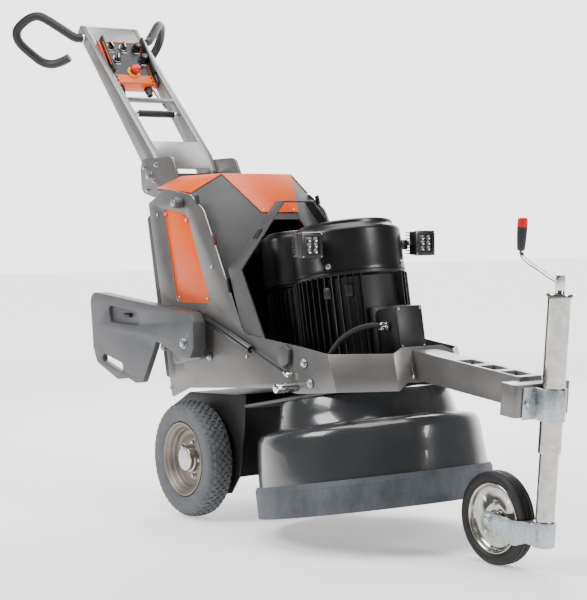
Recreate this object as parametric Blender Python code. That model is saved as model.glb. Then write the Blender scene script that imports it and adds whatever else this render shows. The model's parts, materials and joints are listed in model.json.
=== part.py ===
"""Walk-behind concrete floor grinder, modelled in metres with +Z up.

The design frame has +X towards the jockey wheel, +Y to the machine's left, and its origin on the floor below
the rear axle. The last step moves the whole machine so that the origin lies at the bottom centre of its box.
The machine stands in its transport position: nose raised on the jockey wheel, so the grinding head, both motors
and the front arm share one backward lean.
"""

from math import acos, cos, hypot, pi, radians, sin, tan

import bmesh
import bpy
from mathutils import Matrix, Vector

# Overall sizes
HALF_WIDTH = 0.237  # outer face of each side plate
SHEET = 0.005  # side plates and front wall
WALL_LOW = (0.870, 0.453)  # lower and upper fold of the front wall
WALL_HIGH = (0.843, 0.556)
GAP = 0.0003  # between neighbours that touch
RUN = 0.0005  # running clearance on shafts

# Rear wheels
WHEEL_RADIUS = 0.187
TYRE_WIDTH = 0.092
RIM_RADIUS = 0.1175
AXLE_RADIUS = 0.0175
WHEEL_OUTER = HALF_WIDTH + 0.065  # outer face of the tyre
AXLE_Z = WHEEL_RADIUS

# Grinding head, measured in its own leaning frame
HEAD_X = 0.623
HEAD_Z = 0.088
HEAD_LEAN = 0.172
SKIRT_RADIUS = 0.353
SKIRT_HEIGHT = 0.092
SKIRT_SHEET = 0.011
SKIRT_TRAVEL = 0.020
COVER_SHEET = 0.004
COVER_SHOULDER = 0.228
COVER_TOP = 0.335
DECK_SHEET = 0.010
DISC_COUNT = 3
DISC_RADIUS = 0.125
DISC_ORBIT = 0.165
DISC_SHAFT_RADIUS = 0.0175
SUN_RADIUS = 0.090
CARRIER_RADIUS = 0.262
CARRIER_Z = 0.100
CARRIER_SHEET = 0.020
TOOL_Z = 0.008  # grinding face above the skirt's lower edge

# Motors
MAIN_RADIUS = 0.172
MAIN_SHAFT_RADIUS = 0.020
MAIN_BORE = 0.100
MAIN_FIN_COUNT = 40
FIN_DEPTH = 0.020
COWL_RADIUS = 0.166
COWL_Z = 0.689
COWL_SHOULDER = 0.809
COWL_TOP = 0.842
SMALL_RADIUS = 0.090
SMALL_COWL_RADIUS = 0.096
SMALL_SHAFT_RADIUS = 0.010
SMALL_COWL_Z = 0.700
SMALL_TOP = 0.868
LAMP_SIZE = 0.076
LAMP_DEPTH = 0.060

# Jockey wheel and front arm, measured along the leaning jockey tube
TUBE_FOOT_X = 1.325
TUBE_FOOT_Z = 0.076
TUBE_LEAN = 0.103
TUBE_RADIUS = 0.030
TUBE_WALL = 0.004
TUBE_BOTTOM = 0.247
TUBE_TOP = 0.663
JOCKEY_RADIUS = 0.127
JOCKEY_WIDTH = 0.050
JOCKEY_TRAIL = 0.174
JOCKEY_RIM_RADIUS = 0.096
JOCKEY_LIFT = 0.180
ARM_HALF_WIDTH = 0.040
ARM_LOW = 0.353
ARM_HIGH = 0.434
BRACKET_HALF_WIDTH = 0.098
BRACKET_LOW = 0.338
BRACKET_HIGH = 0.424

# Handle, measured down its rails
HANDLE_TOP_X = -0.969
HANDLE_TOP_Z = 1.677
HANDLE_SLOPE = radians(44.32)
RAIL_OUTER = 0.120
RAIL_WIDTH = 0.025
PIVOT_DOWN = 0.764
PIVOT_BEHIND = -0.058
BAR_RADIUS = 0.0165
PANEL_DOWN = 0.100
PANEL_PROUD = 0.012
PANEL_PITCH = radians(9.5)
PANEL_LENGTH = 0.205
PANEL_DEPTH = 0.050

# Side weights and their gas springs
WEIGHT_X = 0.050
WEIGHT_Z = 0.557
WEIGHT_THICK = 0.045
STRUT_RADIUS = 0.009
STRUT_PIN_X = 0.535
STRUT_PIN_Z = 0.487
STRUT_ARM_X = -0.005  # spring's eye, from the weight's pivot
STRUT_ARM_Z = 0.093
PEG_RADIUS = 0.0135

# Layers outside each side plate, from the plate outwards
STRUT_LAYER = HALF_WIDTH + 0.0025 + STRUT_RADIUS
PLATE_LAYER = HALF_WIDTH + 0.0215
PLATE_THICK = 0.006
WEIGHT_INNER = HALF_WIDTH + 0.030

ROUND = 32  # sides of a large round piece
SMALL_ROUND = 16


def clear_scene():
    for old in list(bpy.data.objects):
        bpy.data.objects.remove(old, do_unlink=True)


def linear(channel):
    return channel / 12.92 if channel <= 0.04045 else ((channel + 0.055) / 1.055) ** 2.4


def finish(name, colour, roughness, metallic=0.0):
    """A Principled BSDF material from a six-digit sRGB colour."""
    material = bpy.data.materials.new(name)
    material.use_nodes = True
    shader = material.node_tree.nodes["Principled BSDF"]
    channels = [linear(int(colour[i : i + 2], 16) / 255) for i in (0, 2, 4)]
    shader.inputs["Base Color"].default_value = (*channels, 1.0)
    shader.inputs["Roughness"].default_value = roughness
    shader.inputs["Metallic"].default_value = metallic
    return material


# Placing


def turned_about_y(angle):
    """Frame turned so that its +Z leans towards +X by the angle."""
    return Matrix.Rotation(angle, 4, "Y")


def frame_at(x, y, z, turn=Matrix.Identity(4)):
    return Matrix.Translation((x, y, z)) @ turn


HEAD = frame_at(HEAD_X, 0, HEAD_Z, turned_about_y(-HEAD_LEAN))
TUBE = frame_at(TUBE_FOOT_X, 0, TUBE_FOOT_Z, turned_about_y(TUBE_LEAN))
HANDLE = frame_at(HANDLE_TOP_X, 0, HANDLE_TOP_Z, turned_about_y(HANDLE_SLOPE))
PIVOT = HANDLE @ Matrix.Translation((PIVOT_DOWN, 0, PIVOT_BEHIND))
PANEL = HANDLE @ frame_at(PANEL_DOWN, 0, PANEL_PROUD, turned_about_y(PANEL_PITCH))
UPRIGHT = Matrix.Rotation(pi / 2, 4, "X")  # local XY becomes world XZ, local Z becomes world -Y


def add_empty(name, matrix, parent=None):
    empty = bpy.data.objects.new(name, None)
    bpy.context.collection.objects.link(empty)
    place(empty, matrix, parent)
    return empty


def place(item, matrix, parent=None):
    item.matrix_world = matrix
    if parent:
        bpy.context.view_layer.update()
        item.parent = parent
        item.matrix_parent_inverse = parent.matrix_world.inverted()
        item.matrix_world = matrix


def add_object(name, bm, material, matrix, parent, smooth=False):
    bmesh.ops.recalc_face_normals(bm, faces=bm.faces)
    mesh = bpy.data.meshes.new(name)
    bm.to_mesh(mesh)
    bm.free()
    if smooth:
        mesh.shade_smooth()
        mesh.set_sharp_from_angle(angle=radians(35))
    if material:
        mesh.materials.append(material)
    item = bpy.data.objects.new(name, mesh)
    bpy.context.collection.objects.link(item)
    place(item, matrix, parent)
    return item


# Shapes


def circle(radius, x=0.0, y=0.0, sides=SMALL_ROUND):
    turns = [2 * pi * i / sides for i in range(sides)]
    return [(x + radius * cos(t), y + radius * sin(t)) for t in turns]


def rounded(corners, steps=3):
    """Outline from (x, y) or (x, y, radius) corners, each radius drawn as an arc."""
    outline = []
    count = len(corners)
    for i, corner in enumerate(corners):
        here = Vector(corner[:2])
        radius = corner[2] if len(corner) > 2 else 0.0
        if not radius:
            outline.append(tuple(here))
            continue
        back = (Vector(corners[i - 1][:2]) - here).normalized()
        ahead = (Vector(corners[(i + 1) % count][:2]) - here).normalized()
        half = acos(max(-1.0, min(1.0, back.dot(ahead)))) / 2
        middle = here + (back + ahead).normalized() * (radius / sin(half))
        start = here + back * (radius / tan(half)) - middle
        end = here + ahead * (radius / tan(half)) - middle
        for k in range(steps + 1):
            outline.append(tuple(middle + radius * start.slerp(end, k / steps).normalized()))
    return outline


def rectangle(x_low, x_high, y_low, y_high):
    return [(x_low, y_low), (x_high, y_low), (x_high, y_high), (x_low, y_high)]


def prism(outline, low, high, holes=()):
    """Solid between two levels of local Z, with an outline in local XY and holes right through."""
    bm = bmesh.new()
    edges = []
    for loop in (outline, *holes):
        verts = [bm.verts.new((x, y, low)) for x, y in loop]
        for i, vert in enumerate(verts):
            edges.append(bm.edges.new((vert, verts[(i + 1) % len(verts)])))
    if holes:
        bmesh.ops.triangle_fill(bm, edges=edges, use_beauty=True)
    else:
        bm.faces.new(bm.verts)
    sides = bmesh.ops.extrude_face_region(bm, geom=list(bm.faces))
    moved = [v for v in sides["geom"] if isinstance(v, bmesh.types.BMVert)]
    bmesh.ops.translate(bm, verts=moved, vec=(0, 0, high - low))
    return bm


def turned(profile, sides=ROUND, ring=False):
    """Solid of revolution about local Z. A ring's profile is a closed loop; any other starts and ends on the axis."""
    bm = bmesh.new()
    rings = []
    for radius, z in profile:
        if radius < 1e-9:
            rings.append([bm.verts.new((0, 0, z))])
        else:
            rings.append([bm.verts.new((x, y, z)) for x, y in circle(radius, sides=sides)])
    pairs = list(zip(rings, rings[1:]))
    if ring:
        pairs.append((rings[-1], rings[0]))
    for lower, upper in pairs:
        for i in range(sides):
            j = (i + 1) % sides
            corners = [lower[i % len(lower)], lower[j % len(lower)], upper[j % len(upper)], upper[i % len(upper)]]
            face = [v for k, v in enumerate(corners) if v not in corners[:k]]
            if len(face) > 2:
                bm.faces.new(face)
    return bm


def strip(lower_line, upper_line):
    """Thin sheet between two lines of equally many points."""
    bm = bmesh.new()
    low = [bm.verts.new(p) for p in lower_line]
    high = [bm.verts.new(p) for p in upper_line]
    for i in range(len(low) - 1):
        bm.faces.new((low[i], low[i + 1], high[i + 1], high[i]))
    return bm


def panels(points, faces):
    bm = bmesh.new()
    verts = [bm.verts.new(p) for p in points]
    for face in faces:
        bm.faces.new([verts[i] for i in face])
    return bm


def thicken(item, thickness, side):
    modifier = item.modifiers.new("Sheet", "SOLIDIFY")
    modifier.thickness = thickness
    modifier.offset = side
    modifier.use_even_offset = True


def combine(item, tool, operation):
    """Boolean with a helper that is not a piece of the machine."""
    tool.hide_render = True
    tool.display_type = "WIRE"
    modifier = item.modifiers.new(operation.title(), "BOOLEAN")
    modifier.operation = operation
    modifier.object = tool
    modifier.solver = "EXACT"


def smooth_route(points, steps):
    """Points read from a Catmull-Rom curve through the route's own points."""
    route = [Vector(p) for p in points]
    padded = [2 * route[0] - route[1], *route, 2 * route[-1] - route[-2]]
    out = []
    for i in range(1, len(padded) - 2):
        a, b, c, d = padded[i - 1 : i + 3]
        for k in range(steps):
            t = k / steps
            out.append(
                0.5 * (2 * b + (c - a) * t + (2 * a - 5 * b + 4 * c - d) * t**2 + (3 * b - a - 3 * c + d) * t**3)
            )
    out.append(route[-1])
    return out


def bar(name, points, radius, material, matrix, parent, widths=None, resolution=2):
    """Round bar along its points, each with its own share of the radius."""
    curve = bpy.data.curves.new(name, "CURVE")
    curve.dimensions = "3D"
    curve.bevel_depth = radius
    curve.bevel_resolution = resolution
    curve.render_resolution_u = 0
    curve.use_fill_caps = True
    spline = curve.splines.new("POLY")
    spline.points.add(len(points) - 1)
    for i, point in enumerate(points):
        spline.points[i].co = (*point, 1.0)
        spline.points[i].radius = widths[i] if widths else 1.0
    curve.materials.append(material)
    item = bpy.data.objects.new(name, curve)
    bpy.context.collection.objects.link(item)
    place(item, matrix, parent)
    return item


def sides_of_machine():
    """The word for each side and the sign of its Y."""
    return (("right", -1), ("left", 1))


def across(sign, inner, outer):
    """Levels of local Z, in an upright frame, for a piece between two distances from the centre plane."""
    levels = sorted((-sign * inner, -sign * outer))
    return levels[0], levels[1]


def at_side(frame, sign, distance):
    return Matrix.Translation((0, sign * distance, 0)) @ frame


# Pieces


def build_side_plates(root, paint, orange):
    """Side plates cut from sheet, each with a window that an orange cover closes from behind."""
    outline = rounded(
        [
            (-0.162, 0.398, 0.02),
            (-0.153, 0.367, 0.01),
            (-0.046, 0.406),
            (0.462, 0.442),
            (0.560, 0.432),
            (0.751, 0.449),
            (0.711, 0.555),
            (0.564, 0.571),
            (0.277, 0.594, 0.02),
            (0.191, 0.745),
            (0.060, 0.975, 0.05),
            (-0.020, 1.025, 0.03),
            (-0.170, 1.047, 0.01),
            (-0.287, 1.003, 0.01),
            (-0.213, 0.682),
        ]
    )
    window = [(-0.190, 0.985, 0.012), (-0.040, 0.962, 0.04), (0.095, 0.681, 0.012), (-0.112, 0.681, 0.02)]
    margin = 0.012
    cover = [
        (-0.190 - margin, 0.985 + margin),
        (-0.040 + margin, 0.962 + margin),
        (0.095 + margin, 0.681 - margin),
        (-0.112 - margin, 0.681 - margin),
    ]
    plates = {}
    for word, sign in sides_of_machine():
        low, high = across(sign, HALF_WIDTH - SHEET, HALF_WIDTH)
        shape = prism(outline, low, high, [rounded(window)])
        plate = add_object(f"side_plate_{word}", shape, paint, UPRIGHT, root)
        plates[word] = plate
        peg = turned([(0, 0), (PEG_RADIUS, 0), (PEG_RADIUS, 0.070), (0, 0.070)], SMALL_ROUND)
        start = HALF_WIDTH - SHEET / 2
        turn = Matrix.Rotation(-sign * pi / 2, 4, "X")
        tool = add_object(f"peg_tool_{word}", peg, None, frame_at(0.555, sign * start, 0.452, turn), root)
        combine(plate, tool, "UNION")
        low, high = across(sign, HALF_WIDTH - SHEET - GAP - 0.003, HALF_WIDTH - SHEET - GAP)
        add_object(f"side_cover_{word}", prism(cover, low, high), orange, UPRIGHT, root)
    return plates


def build_front_wall(root, paint):
    """Bent wall that carries the front arm, flush with the side plates."""
    fold = 0.108
    centre = 0.075
    rise = 0.022
    slope = (WALL_HIGH[0] - WALL_LOW[0]) / (WALL_HIGH[1] - WALL_LOW[1])
    start = GAP + 0.0003
    right_low = [
        (0.751 + start, -HALF_WIDTH, 0.449),
        (WALL_LOW[0], -fold, WALL_LOW[1]),
        (WALL_LOW[0] + slope * rise, -centre, WALL_LOW[1] + rise),
    ]
    right_high = [
        (0.711 + start, -HALF_WIDTH, 0.555),
        (WALL_HIGH[0], -fold, WALL_HIGH[1]),
        (WALL_HIGH[0] + slope * 0.016, -centre, WALL_HIGH[1] + 0.016),
    ]
    low = right_low + [(x, -y, z) for x, y, z in reversed(right_low)]
    high = right_high + [(x, -y, z) for x, y, z in reversed(right_high)]
    wall = add_object("front_wall", strip(low, high), paint, Matrix.Identity(4), root)
    thicken(wall, SHEET, 1)


def build_deck(root, dark):
    """Plate between the side plates that both motors stand on, above the grinding head."""
    width = HALF_WIDTH - SHEET - GAP
    holes = [circle(MAIN_SHAFT_RADIUS + RUN), circle(SMALL_SHAFT_RADIUS + RUN, small_motor_x())]
    outline = [
        (-0.300, -width),
        (0.180, -width),
        (0.180, width),
        (-0.300, width),
        (-0.300, 0.190),
        (-0.385, 0.190),
        (-0.385, -0.190),
        (-0.300, -0.190),
    ]
    plate = prism(outline, COVER_TOP + GAP, COVER_TOP + DECK_SHEET - GAP, holes)
    add_object("motor_deck", plate, dark, HEAD, root)


def small_motor_x():
    """Distance of the second motor's axis from the head's, so its pinion meets the carrier's rim."""
    return -(CARRIER_RADIUS + pinion_radius() + RUN)


def pinion_radius():
    return 0.0275


def planet_radius():
    return DISC_ORBIT - SUN_RADIUS - RUN


def build_rear_axle(root, iron, dark):
    """Geared drive axle, and the sheet guards beside it that hang from the side plates."""
    reach = WHEEL_OUTER - 0.020
    guard = WHEEL_OUTER - TYRE_WIDTH - 0.011
    profile = [
        (0, -reach),
        (AXLE_RADIUS, -reach),
        (AXLE_RADIUS, -guard + 0.006),
        (0.050, -guard + 0.006),
        (0.050, -0.100),
        (0.068, -0.090),
    ]
    profile = profile + [(r, -y) for r, y in reversed(profile)]
    add_object("drive_axle", turned(profile, 24), iron, frame_at(0, 0, AXLE_Z, UPRIGHT), root, True)
    front_top = (0.165, 0.396)
    front_low = (0.189, 0.142)
    sheet = 0.004
    cheek = [
        (-0.200, 0.338),
        (-0.100, 0.387),
        (0.235, 0.400),
        (0.225, 0.300),
        front_low,
        (0.142, 0.086),
        (0.104, 0.079),
        (0.060, 0.120),
        (-0.070, 0.120),
        (-0.180, 0.240),
    ]
    roof = [
        (-0.200, 0.338),
        (-0.100, 0.387),
        front_top,
        front_low,
        (front_low[0] - sheet, front_low[1]),
        (front_top[0] - sheet, front_top[1] - sheet),
        (-0.100 + 0.001, 0.387 - sheet),
        (-0.200 + 0.002, 0.338 - sheet),
    ]
    low, high = across(1, -guard, guard)
    pan = add_object("underbody_guard", prism(roof, low, high), dark, UPRIGHT, root)
    for word, sign in sides_of_machine():
        low, high = across(sign, guard - 0.001, guard + sheet)
        hole = circle(AXLE_RADIUS + RUN, 0, AXLE_Z)
        tool = add_object(f"guard_tool_{word}", prism(cheek, low, high, [hole]), None, UPRIGHT, root)
        combine(pan, tool, "UNION")


def build_rear_wheels(root, rubber, rim_paint):
    """Each wheel's pieces share an origin at the wheel's centre, on the axle line."""
    half = TYRE_WIDTH / 2
    tread = WHEEL_RADIUS
    bead = RIM_RADIUS + GAP
    tyre = [
        (bead, -half * 0.72),
        (bead + 0.012, -half * 0.90),
        (tread - 0.030, -half),
        (tread - 0.008, -half * 0.90),
        (tread, -half * 0.62),
    ]
    tyre = tyre + [(r, -z) for r, z in reversed(tyre)]
    flange = RIM_RADIUS
    rim = [
        (flange, -half * 0.80),
        (flange, half * 0.80),
        (flange - 0.008, half * 0.80),
        (flange - 0.014, half * 0.30),
        (0.060, half * 0.25),
        (0.058, half * 0.62),
        (AXLE_RADIUS + RUN, half * 0.62),
        (AXLE_RADIUS + RUN, -half * 0.30),
        (0.060, -half * 0.30),
        (flange - 0.014, half * 0.05),
        (flange - 0.008, -half * 0.80),
    ]
    for word, sign in sides_of_machine():
        turn = Matrix.Rotation(-sign * pi / 2, 4, "X")
        centre = frame_at(0, sign * (WHEEL_OUTER - half), AXLE_Z, turn)
        add_object(f"rear_tyre_{word}", turned(tyre, 36, True), rubber, centre, root, True)
        add_object(f"rear_rim_{word}", turned(rim, 36, True), rim_paint, centre, root, True)


def build_head(root, cover_paint, rubber, iron, steel):
    """Cover, floating skirt, planet carrier and grinding discs."""
    inner = SKIRT_RADIUS - SKIRT_SHEET - RUN
    upper = 0.262
    outer_wall = [
        (inner, 0.045),
        (inner, SKIRT_HEIGHT),
        (inner - 0.012, COVER_SHOULDER),
        (inner - 0.040, COVER_SHOULDER + 0.018),
        (upper + 0.008, COVER_SHOULDER + 0.022),
        (upper - 0.016, COVER_TOP - 0.006),
        (upper - 0.024, COVER_TOP),
    ]
    opening = 0.060
    inner_wall = [(r - COVER_SHEET, z - COVER_SHEET) for r, z in outer_wall[2:]]
    shell = [
        *outer_wall,
        (opening, COVER_TOP),
        (opening, COVER_TOP - COVER_SHEET),
        *reversed(inner_wall),
        (inner - COVER_SHEET, SKIRT_HEIGHT),
        (inner - COVER_SHEET, 0.045),
    ]
    cover = add_object("head_cover", turned(shell, 40, True), cover_paint, HEAD, root, True)
    shaft_hole = turned([(0, 0.15), (0.016, 0.15), (0.016, 0.40), (0, 0.40)], SMALL_ROUND)
    place_hole = HEAD @ Matrix.Translation((small_motor_x(), 0, 0))
    combine(cover, add_object("shaft_hole", shaft_hole, None, place_hole, root), "DIFFERENCE")

    skirt = [
        (SKIRT_RADIUS - SKIRT_SHEET, 0),
        (SKIRT_RADIUS, 0),
        (SKIRT_RADIUS, SKIRT_HEIGHT),
        (SKIRT_RADIUS - SKIRT_SHEET, SKIRT_HEIGHT),
    ]
    add_object("floating_skirt", turned(skirt, 40, True), rubber, HEAD, root, True)

    plate_top = CARRIER_Z + CARRIER_SHEET
    rim_wall = 0.015
    carrier = [
        (MAIN_SHAFT_RADIUS + RUN, CARRIER_Z),
        (CARRIER_RADIUS, CARRIER_Z),
        (CARRIER_RADIUS, 0.185),
        (CARRIER_RADIUS - rim_wall, 0.185),
        (CARRIER_RADIUS - rim_wall, plate_top),
        (MAIN_SHAFT_RADIUS + RUN, plate_top),
    ]
    plate = add_object("planet_carrier", turned(carrier, ROUND, True), iron, HEAD, root, True)
    for i in range(DISC_COUNT):
        angle = 2 * pi * i / DISC_COUNT
        centre = HEAD @ Matrix.Translation((DISC_ORBIT * cos(angle), DISC_ORBIT * sin(angle), 0))
        bore = DISC_SHAFT_RADIUS + RUN
        hole = turned([(0, 0.09), (bore, 0.09), (bore, 0.13), (0, 0.13)], SMALL_ROUND)
        skewed = centre @ Matrix.Rotation(0.11, 4, "Z")
        combine(plate, add_object(f"carrier_bore_{i}", hole, None, skewed, root), "DIFFERENCE")
        planet = planet_radius()
        disc = [
            (0, 0.026),
            (DISC_RADIUS - 0.030, 0.026),
            (DISC_RADIUS - 0.028, TOOL_Z),
            (DISC_RADIUS - 0.004, TOOL_Z),
            (DISC_RADIUS, 0.026),
            (DISC_RADIUS, 0.038),
            (0.040, 0.044),
            (0.040, CARRIER_Z - 0.010),
            (DISC_SHAFT_RADIUS, CARRIER_Z - 0.008),
            (DISC_SHAFT_RADIUS, plate_top + 0.012),
            (planet, plate_top + 0.012),
            (planet, plate_top + 0.032),
            (0, plate_top + 0.032),
        ]
        add_object(f"grinding_disc_{i + 1}", turned(disc, 24), steel, centre, root, True)


def build_motors(root, black, steel, lamp):
    """Finned main motor over the head's centre, its cowl, the smaller planet motor behind, and what they turn."""
    base = COVER_TOP + DECK_SHEET
    step = 2 * pi / (MAIN_FIN_COUNT * 2)
    fins = []
    for i in range(MAIN_FIN_COUNT * 2):
        radius = MAIN_RADIUS - (FIN_DEPTH if i % 2 else 0)
        for offset in (-0.25, 0.25):
            turn = (i + offset) * step
            fins.append((radius * cos(turn), radius * sin(turn)))
    body = prism(fins, base, COWL_Z - GAP, [circle(MAIN_BORE, sides=24)])
    add_object("main_motor", body, black, HEAD, root)

    wall = 0.003
    shell = [
        (COWL_RADIUS - wall, COWL_Z),
        (COWL_RADIUS, COWL_Z),
        (COWL_RADIUS, COWL_SHOULDER),
        (COWL_RADIUS - 0.022, COWL_TOP - 0.004),
        (0, COWL_TOP),
        (0, COWL_TOP - wall),
        (COWL_RADIUS - 0.022 - wall, COWL_TOP - 0.004 - wall),
        (COWL_RADIUS - wall, COWL_SHOULDER - wall),
    ]
    cowl = add_object("motor_cowl", turned([*shell[5:], *shell[:5]], ROUND), black, HEAD, root, True)
    lamp_y = lamp_centre()
    for word, sign in sides_of_machine():
        ends = sorted((sign * (COWL_RADIUS - 0.019), sign * (lamp_y - LAMP_SIZE / 2 - 0.0005)))
        arm = prism(rectangle(0.548, 0.572, ends[0], ends[1]), 0.835, 0.889)
        combine(cowl, add_object(f"lamp_arm_{word}", arm, None, Matrix.Identity(4), root), "UNION")
        low, high = across(sign, lamp_y - LAMP_SIZE / 2, lamp_y + LAMP_SIZE / 2)
        half = LAMP_SIZE / 2
        outline = rounded([(-0.012, -half, 0.008), (0.048, -half, 0.004), (0.048, half, 0.004), (-0.012, half, 0.008)])
        pod = prism(outline, low + sign * lamp_y, high + sign * lamp_y)
        add_object(f"work_lamp_{word}", pod, lamp, frame_at(0.561, sign * lamp_y, 0.862, UPRIGHT), root)

    planet_low = CARRIER_Z + CARRIER_SHEET + 0.012
    core = MAIN_BORE - 0.006
    rotor = [
        (0, CARRIER_Z - 0.004),
        (MAIN_SHAFT_RADIUS, CARRIER_Z - 0.004),
        (MAIN_SHAFT_RADIUS, planet_low),
        (SUN_RADIUS, planet_low),
        (SUN_RADIUS, planet_low + 0.020),
        (MAIN_SHAFT_RADIUS, planet_low + 0.020),
        (MAIN_SHAFT_RADIUS, base + 0.045),
        (core, base + 0.050),
        (core, COWL_Z - 0.060),
        (MAIN_SHAFT_RADIUS, COWL_Z - 0.055),
        (MAIN_SHAFT_RADIUS, COWL_Z + 0.030),
        (COWL_RADIUS - 0.030, COWL_Z + 0.032),
        (COWL_RADIUS - 0.030, COWL_Z + 0.072),
        (0, COWL_Z + 0.080),
    ]
    add_object("main_rotor", turned(rotor, 24), steel, HEAD, root, True)

    behind = HEAD @ Matrix.Translation((small_motor_x(), 0, 0))
    bore = SMALL_RADIUS - 0.035
    housing = [
        (SMALL_SHAFT_RADIUS + RUN, base),
        (SMALL_RADIUS, base),
        (SMALL_RADIUS, SMALL_COWL_Z),
        (SMALL_COWL_RADIUS, SMALL_COWL_Z),
        (SMALL_COWL_RADIUS, SMALL_TOP - 0.022),
        (SMALL_COWL_RADIUS - 0.014, SMALL_TOP),
        (0.020, SMALL_TOP),
        (0.020, SMALL_TOP - 0.004),
        (SMALL_COWL_RADIUS - 0.018, SMALL_TOP - 0.006),
        (SMALL_COWL_RADIUS - 0.004, SMALL_TOP - 0.026),
        (SMALL_COWL_RADIUS - 0.004, SMALL_COWL_Z + 0.010),
        (bore, SMALL_COWL_Z + 0.008),
        (bore, base + 0.020),
        (SMALL_SHAFT_RADIUS + RUN, base + 0.018),
    ]
    add_object("planet_motor", turned(housing, 28, True), black, behind, root, True)
    pinion_low = 0.163
    shaft = [
        (0, pinion_low),
        (pinion_radius(), pinion_low),
        (pinion_radius(), pinion_low + 0.020),
        (SMALL_SHAFT_RADIUS, pinion_low + 0.022),
        (SMALL_SHAFT_RADIUS, base + 0.060),
        (bore - 0.005, base + 0.062),
        (bore - 0.005, SMALL_COWL_Z - 0.030),
        (SMALL_SHAFT_RADIUS, SMALL_COWL_Z - 0.028),
        (SMALL_SHAFT_RADIUS, SMALL_COWL_Z + 0.050),
        (SMALL_COWL_RADIUS - 0.016, SMALL_COWL_Z + 0.052),
        (SMALL_COWL_RADIUS - 0.016, SMALL_COWL_Z + 0.082),
        (0, SMALL_COWL_Z + 0.084),
    ]
    add_object("planet_rotor", turned(shaft, 20), steel, behind, root, True)

    box_low = MAIN_RADIUS + GAP
    outline = rounded([(box_low, -0.052), (box_low + 0.090, -0.052, 0.008), (box_low + 0.090, 0.048, 0.008), (box_low, 0.048)])
    add_object("terminal_box", prism(outline, 0.435, 0.565), black, HEAD, root)


def lamp_centre():
    return 0.210


def build_body(root, dark, orange, grey, moulding):
    """Electric cabinet, rear door, faceted hood with its orange cover, and the lifting hoop."""
    inside = HALF_WIDTH - SHEET - GAP
    side = inside - 0.030
    cabinet = [(-0.232, 0.960), (-0.060, 0.960), (0.080, 0.680), (0.080, 0.430), (-0.130, 0.430), (-0.180, 0.680)]
    low, high = across(1, -side, side)
    add_object("electric_cabinet", prism(cabinet, low, high), grey, UPRIGHT, root)

    door_half = inside - 0.012
    hinge = door_hinge()
    length = 0.560
    depth = 0.042
    door = rounded([(0.004, 0.004, 0.004), (0.004, length, 0.004), (-depth, length - 0.008, 0.012), (-depth, 0.012, 0.012)])
    add_object("rear_door", prism(door, 0, 2 * door_half), moulding, hinge, root)

    rear = -0.245
    ridge = 0.135
    top_z = 1.088
    nose_x = 0.008
    lip_x = 0.162
    lip_z = 0.942
    hood_points = []
    for sign in (-1, 1):
        hood_points += [
            (rear, sign * ridge, top_z),
            (nose_x, sign * ridge, top_z),
            (rear, sign * inside, top_z - 0.042),
            (-0.030, sign * inside, top_z - 0.062),
            (0.160, sign * inside, 0.735),
            (lip_x, sign * 0.060, lip_z),
        ]
    faces = [(0, 1, 7, 6), (1, 5, 11, 7)]
    faces += [(2, 3, 1, 0), (3, 4, 5, 1)]
    faces += [(8, 6, 7, 9), (9, 7, 11, 10)]
    hood = add_object("hood", panels(hood_points, faces), dark, Matrix.Identity(4), root)
    thicken(hood, 0.003, -1)

    share = 0.86  # how far down the front slope the orange cover reaches
    edge_x = nose_x + (lip_x - nose_x) * share
    edge_z = top_z + (lip_z - top_z) * share
    cover_points = []
    for sign in (-1, 1):
        low_y = inside - 0.004
        drop = (low_y - ridge) / (inside - ridge)
        cover_points += [
            (rear, sign * ridge, top_z),
            (nose_x, sign * ridge, top_z),
            (rear, sign * low_y, top_z - 0.042 * drop),
            (nose_x + (-0.030 - nose_x) * drop, sign * low_y, top_z - 0.062 * drop),
            (edge_x, sign * (ridge + (0.060 - ridge) * share), edge_z),
        ]
    faces = [(0, 1, 6, 5), (1, 4, 9, 6), (2, 3, 1, 0), (7, 5, 6, 8)]
    lifted = frame_at(0.0010, 0, 0.0010)
    orange_cover = add_object("hood_cover", panels(cover_points, faces), orange, lifted, root)
    thicken(orange_cover, 0.003, 1)

    cheek = inside
    right = [
        ((0.276, 0.392), -cheek, 0.572),
        ((0.190, 0.262), -cheek, 0.790),
        ((0.200, 0.245), -0.056, 1.000),
    ]
    path = right + [(x, -y, z) for x, y, z in reversed(right)]
    low = [(x[0], y, z) for x, y, z in path]
    high = [(x[1], y, z) for x, y, z in path]
    hoop = add_object("lifting_hoop", strip(low, high), dark, Matrix.Identity(4), root)
    thicken(hoop, 0.006, -1)
    for word, sign in sides_of_machine():
        corners = [(0.210, -0.020, 0.005), (0.236, -0.020, 0.005), (0.236, 0.020, 0.005), (0.210, 0.020, 0.005)]
        slot = prism(rounded(corners), -0.03, 0.03)
        lean = Matrix.Rotation(-sign * radians(50), 4, "X")
        tool = add_object(f"hoop_slot_{word}", slot, None, frame_at(0, sign * 0.142, 0.897, lean), root)
        combine(hoop, tool, "DIFFERENCE")


def door_hinge():
    """Frame on the door's hinge: local Y runs up the leaning rear edge and local Z runs across the machine."""
    foot = Vector((-0.168, 0, 0.425))
    head = Vector((-0.287, 0, 1.003))
    up = (head - foot).normalized()
    turn = Matrix.Rotation(-acos(up.z), 4, "Y") @ UPRIGHT
    door_half = HALF_WIDTH - SHEET - GAP - 0.012
    behind = 0.0085
    return frame_at(foot.x - behind, door_half, foot.z, turn)


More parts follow.
